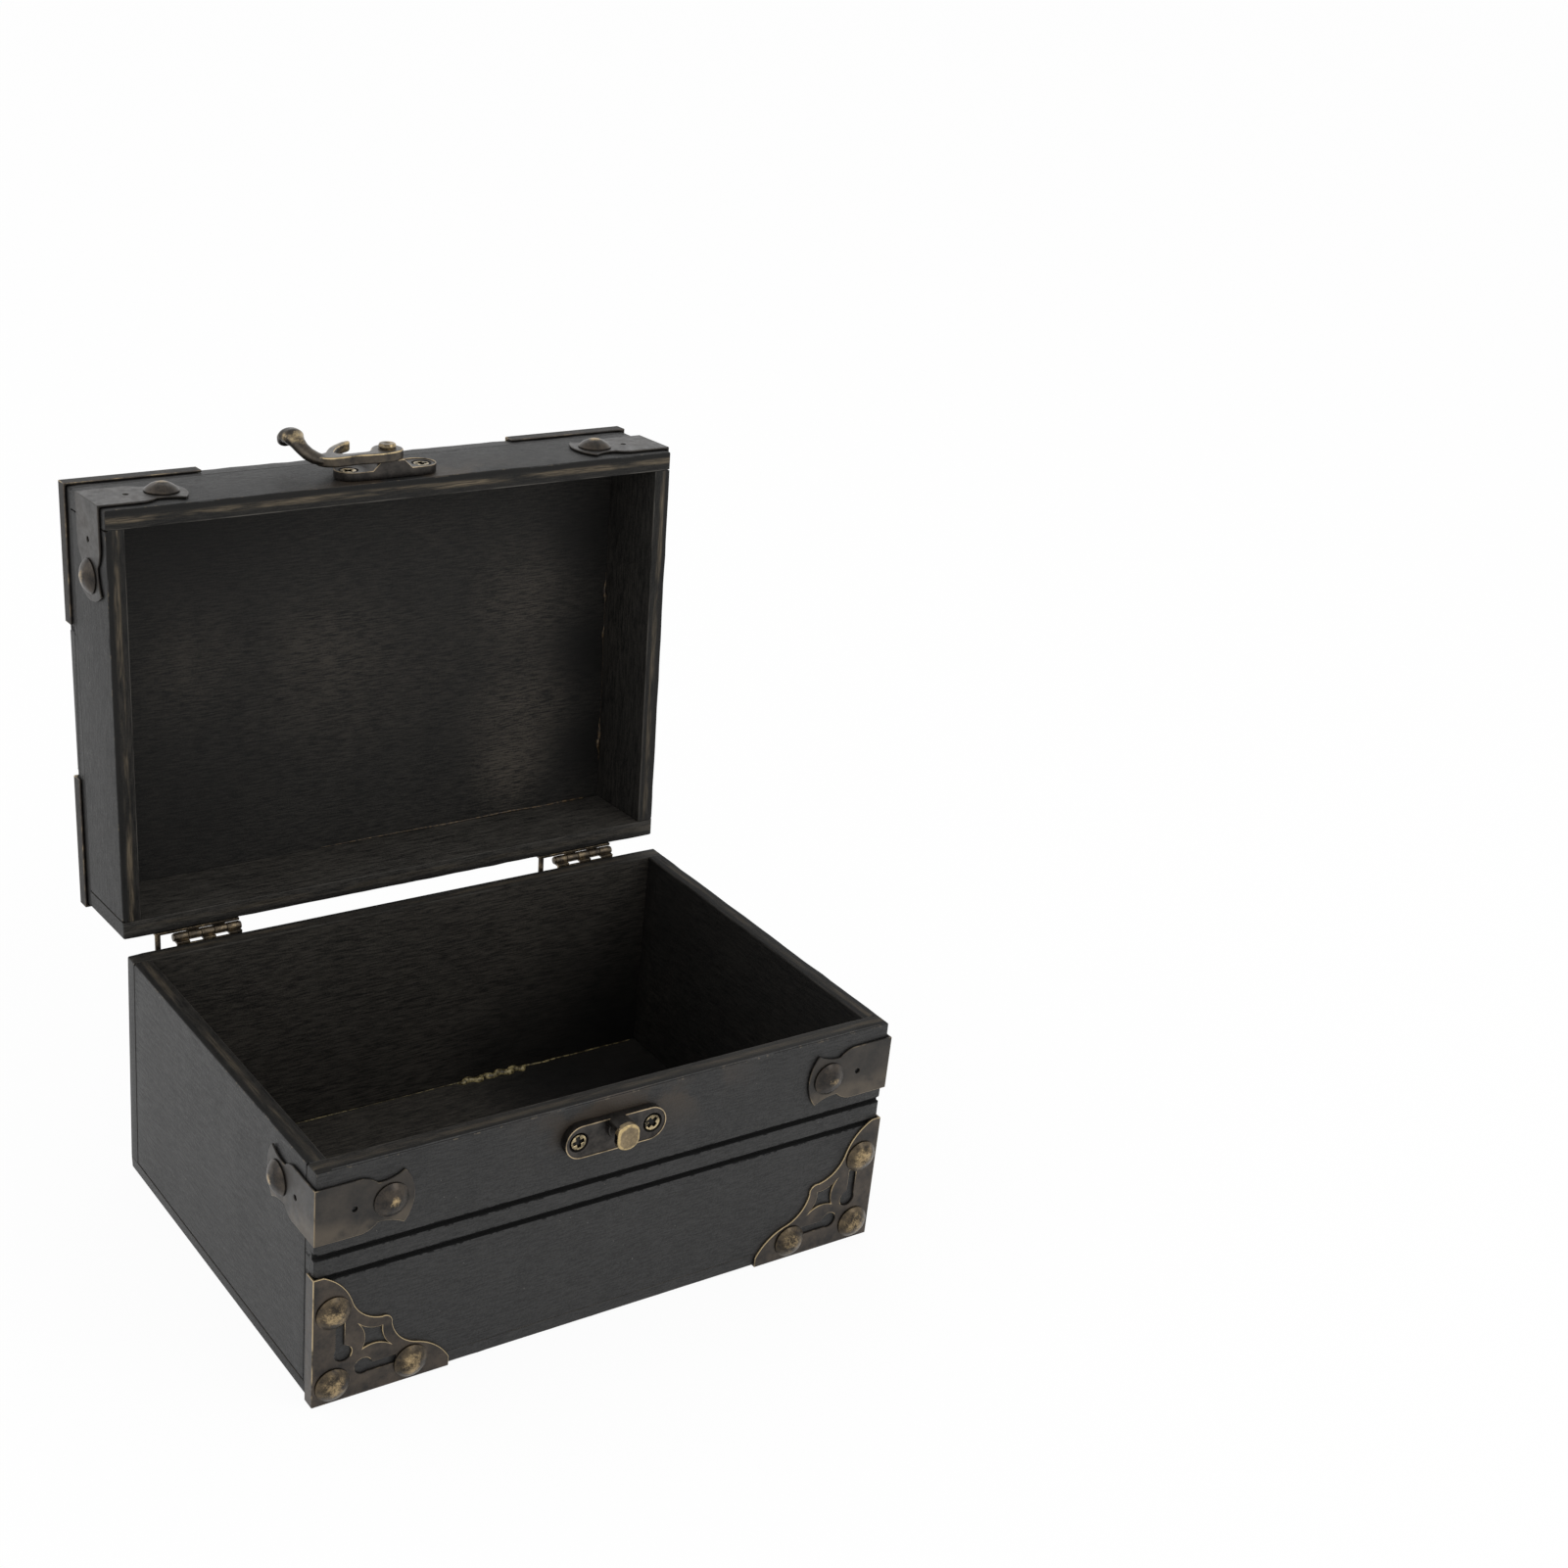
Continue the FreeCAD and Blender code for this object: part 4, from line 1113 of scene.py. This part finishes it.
# Painted shade: the flats and the underside of the head take the near-black finish, the neck the dark bronze of
# the plates
for face in knob.data.polygons:
    on_flat = abs(face.normal.x) > 0.95 and face.center.z < knob_face - 0.8 * knob_round
    if face.center.z < knob_under - knob_slack:
        face.material_index = 2
    elif on_flat or face.center.z < knob_under + knob_slack:
        face.material_index = 1
    else:
        face.material_index = 0
on_front(knob, latch_x, post_z)
finish_piece(knob, "catch_knob", "base")

# Screws: brass, with countersunk heads, a cross slot and a pointed shank, driven through the latch plates into
# the front boards. One is modelled and then set in each seat, turned a little differently.
SCREW_BRASS = (0.580, 0.465, 0.265, 1)
screw_r, screw_head, screw_sunk, screw_ease = 0.00208, 0.0012, 0.0004, 0.00006
neck_share, screw_long, tip_long, tip_share = 0.48, 0.0030, 0.0010, 0.2
slot_long, slot_half, slot_floor = 0.00155, 0.00055, 0.0010
screw_bright, screw_rub = 0.0007, 0.68

bpy.ops.object.select_all(action="DESELECT")
bpy.ops.mesh.primitive_cylinder_add(vertices=40, radius=screw_r, depth=screw_head,
                                    location=(0, 0, plate_thick - screw_sunk - screw_head / 2))
screw = bpy.context.active_object
settle(screw)
pick_parts(screw, "FACE", lambda face: face.normal.z < -0.9)
bpy.ops.transform.resize(value=(neck_share, neck_share, 1), center_override=(0, 0, 0))
push_faces(-screw_long)
push_faces(-tip_long, tip_share)
bpy.ops.object.mode_set(mode="OBJECT")
for along, across in ((slot_long, slot_half), (slot_half, slot_long)):
    slot_low = (-along, -across, plate_thick - slot_floor)
    slot_high = (along, across, plate_thick + overrun)
    combine(screw, block("slot", slot_low, slot_high), "DIFFERENCE")
ease_edges(screw, screw_ease, 1, 40)
mark_rubbed(screw, lambda vertex: screw_rub if vertex.co.z > plate_thick - screw_bright else 0.0)
smooth(screw, 35)
screw_finish = {body: bronzed("screw_brass_" + body, SHADE_AND_PATINA_DARK, CAST_DARK, SCREW_BRASS, body == "lid", 500,
                              (0.22, 0.40), coat=0.2, speckle=0.8) for body in ("base", "lid")}
for node, z, body, twists in (
    ("hasp_screws", hasp_z, "lid", (0.35, -0.2)),
    ("catch_screws", catch_z, "base", (0.2, 0.75)),
):
    for side, twist in zip((-1, 1), twists):
        spot = (latch_x + side * screw_out, -half_depth, z)
        name = "screw_%s_%s" % (node.split("_")[0], "left" if side < 0 else "right")
        piece = set_on(screw.data, name, spot, TO_FRONT, UPWARD, twist, body == "lid")
        piece.data.materials.append(screw_finish[body])
        finish_piece(piece, node, body)
bpy.data.objects.remove(screw)

# Rivet: a short brass pin through the bridge of the upper plate and the hook's eye, on which the hook turns.
# Its head is beaten flat over the eye, with a shallow dimple.
hook_under, hook_top, hook_crank = 0.0034, 0.0054, 0.0012
pivot_z, eye_clear = 0.0698, 0.0006
rivet_seat = hook_top + hook_crank + eye_clear
rivet_r, rivet_sunk, rivet_flat, rivet_ease = 0.0024, 0.0004, 0.0010, 0.00015
rivet_head_r, pin_r, pin_long, rivet_bright, rivet_rub = 0.00237, 0.0015, 0.0066, 0.0003, 0.5
dimple = ((0.0010, -0.00005), (0.0004, -0.0002))

bpy.ops.object.select_all(action="DESELECT")
bpy.ops.mesh.primitive_uv_sphere_add(segments=36, ring_count=36, radius=rivet_r,
                                     location=(0, 0, rivet_seat - rivet_sunk))
rivet = bpy.context.active_object
rivet.name = "cast_hasp_rivet"
settle(rivet)
bpy.ops.object.mode_set(mode="EDIT")
slice_mesh((0, 0, rivet_seat), UPWARD, clear_inner=True)
pull_edges(0, pin_r / rivet_head_r)
pull_edges(-pin_long)
bpy.ops.mesh.edge_face_add()
slice_mesh((0, 0, rivet_seat + rivet_flat), UPWARD, clear_outer=True, use_fill=True)
for inset, sink in dimple:
    bpy.ops.mesh.inset(thickness=inset, depth=sink)
turn_outwards()
ease_edges(rivet, rivet_ease, 2, 30)
mark_rubbed(rivet, lambda vertex: rivet_rub if vertex.co.z > rivet_seat + rivet_bright else 0.0)
smooth(rivet, 40)
on_front(rivet, latch_x, pivot_z, True)
rivet_finish = bronzed("rivet_brass", CAST_DARK, KNOB_BROWN, KNOB_BRASS, True, 420, (0.25, 0.42), coat=0.3,
                       speckle=0.6)
rivet.data.materials.append(rivet_finish)
finish_piece(rivet, "hasp_rivet", "lid")

# Hook: one casting, a flat eye and bowed arm with a claw that goes under the knob's neck, and a tail that
# rises from the board and curls over into a thumb piece. Stored swung over to the left on the open lid.
HOOK_DARK = (0.026, 0.0225, 0.0195, 1)
HOOK_BROWN = (0.085, 0.068, 0.048, 1)
HOOK_GOLD = (0.560, 0.430, 0.235, 1)
hook_turn = math.radians(joints["hook_pivot"]["range_deg"][1])
hook_middle, hook_half, hook_round, hook_inset = (hook_under + hook_top) / 2, 0.00080, 0.00050, 0.00040
bead_steps, bead_r, cast_grain = 5, 0.0005, 0.00018
crank_from, crank_to = -0.0150, -0.0045
hump_r, hump_top_r, hump_high, hump_drop = 0.0035, 0.0023, 0.0012, 0.0007
eye_r, drill_long = 0.00155, 0.02
# Outline of the latched hook from its pivot, in millimetres
hook_outline = (
    (-4.0, 0.0), (-2.83, 2.83), (0.0, 4.0), (2.7, 3.1), (5.2, 0.7), (7.4, -2.8), (8.7, -6.2), (9.25, -9.5),
    (8.95, -13.0), (8.2, -15.4), (6.8, -16.9), (5.0, -17.0), (4.0, -16.2), (3.0, -15.4), (0.4, -15.2),
    (-3.2, -14.85), (-6.6, -13.7), (-9.0, -12.2), (-9.2, -11.0), (-8.2, -10.6), (-6.0, -11.85), (-3.0, -12.96),
    (0.0, -13.3), (2.2, -13.1), (4.3, -11.6), (5.5, -9.4), (5.6, -6.9), (4.7, -4.7), (2.8, -3.9), (0.6, -4.0),
    (-1.9, -3.5), (-3.4, -2.1),
)
# Middle of the tail, its width and its thickness, in millimetres
hook_tail = (
    (6.9, -12.6, 4.4, 4.4, 2.0), (6.4, -15.2, 4.5, 4.3, 2.6), (5.7, -17.4, 4.8, 4.0, 3.1),
    (4.8, -19.3, 5.5, 3.7, 3.3), (3.7, -21.0, 6.6, 3.6, 3.4), (2.3, -22.5, 7.9, 4.3, 3.7),
    (0.8, -23.7, 8.8, 5.9, 4.0), (-0.5, -24.6, 8.8, 6.5, 3.9), (-1.5, -25.4, 8.0, 6.0, 3.6),
    (-2.1, -26.0, 7.0, 4.7, 3.1),
)


def hook_rub(vertex):
    """The hook is rubbed along its upper edges, at the claw and on the raised tail."""
    x, y, z = vertex.co
    lean = vertex.normal.z
    edge = share(lean, 0.975, 0.875) * share(lean, 0.15, 0.45) * max(0.3, share(y, -0.0170, -0.0150))
    claw = share(x, -0.0005, -0.0035) if -0.0160 < y < -0.0098 else 0.0
    tail = share(z, 0.0052, 0.0082) if y < -0.0165 else 0.0
    return max(edge * 0.92, claw * 0.66, tail * 0.48)


bpy.ops.object.select_all(action="DESELECT")
outline = bpy.data.curves.new("hook_outline", "CURVE")
outline.dimensions = "2D"
outline.fill_mode = "BOTH"
outline.extrude = hook_half
outline.bevel_depth = hook_round
outline.bevel_resolution = 3
outline.resolution_u = 6
outline.offset = -hook_inset
spline = outline.splines.new("BEZIER")
spline.use_cyclic_u = True
spline.bezier_points.add(len(hook_outline) - 1)
for point, (x, y) in zip(spline.bezier_points, hook_outline):
    point.co = (x / mm_per_metre, y / mm_per_metre, 0)
    point.handle_left_type = point.handle_right_type = "AUTO"
hook = add_object("cast_hasp_hook", outline)
hook.location = (0, 0, hook_middle)
pick(hook)
bpy.ops.object.convert(target="MESH")
hook = bpy.context.active_object
settle(hook)
beads = []
for first, second in zip(hook_tail, hook_tail[1:]):
    along = (Vector(second[:3]) - Vector(first[:3])).normalized()
    wide = along.cross(Vector(UPWARD)).normalized()
    proud = wide.cross(along).normalized()
    for step in range(bead_steps):
        x, y, z, across, thick = [a + (b - a) * step / bead_steps for a, b in zip(first, second)]
        bpy.ops.mesh.primitive_uv_sphere_add(segments=24, ring_count=16, radius=bead_r, location=(0, 0, 0))
        bead = bpy.context.active_object
        shape = Matrix((wide * across, along * thick, proud * thick)).transposed().to_4x4()
        bead.matrix_world = Matrix.Translation(Vector((x, y, z)) / mm_per_metre) @ shape
        beads.append(bead)
pick(hook)
for bead in beads:
    bead.select_set(True)
bpy.ops.object.join()
hook = bpy.context.active_object
settle(hook)
casting = hook.modifiers.new("casting", "REMESH")
casting.mode = "VOXEL"
casting.voxel_size = cast_grain
bpy.ops.object.modifier_apply(modifier=casting.name)
# The arm is cranked: its eye stands further out, over the bridge of the plate
eye_side = hook.vertex_groups.new(name="eye_side")
for vertex in hook.data.vertices:
    lifted = share(vertex.co.y, crank_from, crank_to)
    eye_side.add([vertex.index], lifted * lifted * (3 - 2 * lifted), "REPLACE")
cranking = hook.modifiers.new("cranking", "DISPLACE")
cranking.direction = "Z"
cranking.strength = hook_crank
cranking.mid_level = 0
cranking.vertex_group = "eye_side"
bpy.ops.object.modifier_apply(modifier=cranking.name)
fettling = hook.modifiers.new("fettling", "SMOOTH")
fettling.factor = 0.5
fettling.iterations = 4
bpy.ops.object.modifier_apply(modifier=fettling.name)
bpy.ops.mesh.primitive_cone_add(vertices=40, radius1=hump_r, radius2=hump_top_r, depth=hump_high,
                                location=(0, 0, rivet_seat - hump_drop))
combine(hook, bpy.context.active_object, "UNION")
bpy.ops.mesh.primitive_cylinder_add(vertices=32, radius=eye_r, depth=drill_long, location=(0, 0, hook_middle))
combine(hook, bpy.context.active_object, "DIFFERENCE")
mark_rubbed(hook, hook_rub)
bpy.ops.object.shade_smooth()
on_rivet = Matrix.Translation((latch_x, -half_depth, pivot_z)) @ Matrix.Rotation(hook_turn, 4, TO_FRONT)
hook.matrix_world = on_rivet @ Matrix.Rotation(math.radians(90), 4, "X")
settle(hook)
swing_open(hook)
hook.data.materials.clear()
hook_finish = bronzed("hook_bronze", HOOK_DARK, HOOK_BROWN, HOOK_GOLD, False, 260, (0.28, 0.46), coat=0.3,
                      speckle=0.5)
hook.data.materials.append(hook_finish)
finish_piece(hook, "hasp_hook", "hook")

# Hinges: small rolled-leaf butts on the rear faces, with their pins, nails and the thin stop fingers that
# hold the lid a little past upright. Bronzed, with brass showing on the knuckles.
HINGE_DARK = (0.030, 0.024, 0.018, 1)
HINGE_BROWN = (0.130, 0.098, 0.060, 1)
hinge_ease, hinge_rub = 0.00008, 0.35
hinge_finish = bronzed("hinge_bronze", HINGE_DARK, HINGE_BROWN, BRASS, False, 420, (0.25, 0.45), coat=0.3,
                       metal=0.95, speckle=0.9)
for node in list(frame["nodes"]):
    if not node.startswith("hinge_"):
        continue
    piece = copy_of_solid(node, "rolled_" + node)
    ease_edges(piece, hinge_ease, 2, 38)
    mark_rubbed(piece, lambda vertex: hinge_rub)
    smooth(piece, 35)
    piece.data.materials.append(hinge_finish)
    finish_piece(piece, node, "lid" if "lid" in node else "base")

# Stage: a wide floor that shows white to the camera and dimmer in reflections, under a pale sky, with a soft
# lamp from the upper right and a wider one from the left, and the camera of the open chest.
FLOOR_WHITE = (0.94, 0.94, 0.94, 1)
floor_wide, floor_drop, floor_seen, floor_mirrored = 12, 0.0002, 0.94, 0.4
lamps_aim = Vector((0, 0, 0.06))
camera_place, camera_turn = (-0.27315, -0.45397, 0.35657), (63.355, -4.357, -32.440)
bpy.ops.object.select_all(action="DESELECT")
bpy.ops.mesh.primitive_plane_add(size=floor_wide, location=(0, 0, -floor_drop))
floor = bpy.context.active_object
floor.name = "floor"
floor_finish, tree, shader = new_finish("floor_white")
shader.inputs["Base Color"].default_value = FLOOR_WHITE
shader.inputs["Roughness"].default_value = 0.9
glow = tree.nodes.new("ShaderNodeEmission")
glow.inputs["Strength"].default_value = 1.0
rays = tree.nodes.new("ShaderNodeLightPath").outputs
blend = tree.nodes.new("ShaderNodeMixShader")
mirrored = product(tree, total(tree, rays["Is Glossy Ray"], rays["Is Transmission Ray"]), floor_mirrored)
link(tree, total(tree, product(tree, rays["Is Camera Ray"], floor_seen), mirrored), blend.inputs[0])
link(tree, shader.outputs[0], blend.inputs[1])
link(tree, glow.outputs[0], blend.inputs[2])
link(tree, blend.outputs[0], tree.nodes["Material Output"].inputs["Surface"])
floor.data.materials.append(floor_finish)
floor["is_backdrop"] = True

world = bpy.data.worlds.new("studio")
bpy.context.scene.world = world
world.use_nodes = True
tree = world.node_tree
sky = tree.nodes["Background"]
height = split_place(tree, tree.nodes.new("ShaderNodeTexCoord").outputs["Generated"])[2]
link(tree, ramp_node(tree, height, [(0.25, 1.0), (0.85, 0.78)]), sky.inputs["Color"])
sky.inputs["Strength"].default_value = 1.0

for name, place, size, power in (
    ("key", (0.55, -0.75, 0.95), 0.6, 2.5),
    ("fill", (-0.85, 0.25, 0.75), 0.8, 1.8),
):
    lamp_data = bpy.data.lights.new(name, "AREA")
    lamp_data.size = size
    lamp_data.energy = power
    lamp = add_object(name, lamp_data)
    lamp.location = place
    lamp.rotation_euler = (lamps_aim - Vector(place)).to_track_quat("-Z", "Y").to_euler()

camera_data = bpy.data.cameras.new("camera")
camera_data.lens = 54.53
camera_data.sensor_width = 36
camera_data.shift_x = 0.0878
camera_data.shift_y = 0.0746
camera = add_object("camera", camera_data)
camera.location = camera_place
camera.rotation_euler = [math.radians(angle) for angle in camera_turn]
bpy.context.scene.camera = camera
bpy.context.scene.view_settings.view_transform = "Standard"

low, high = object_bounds()
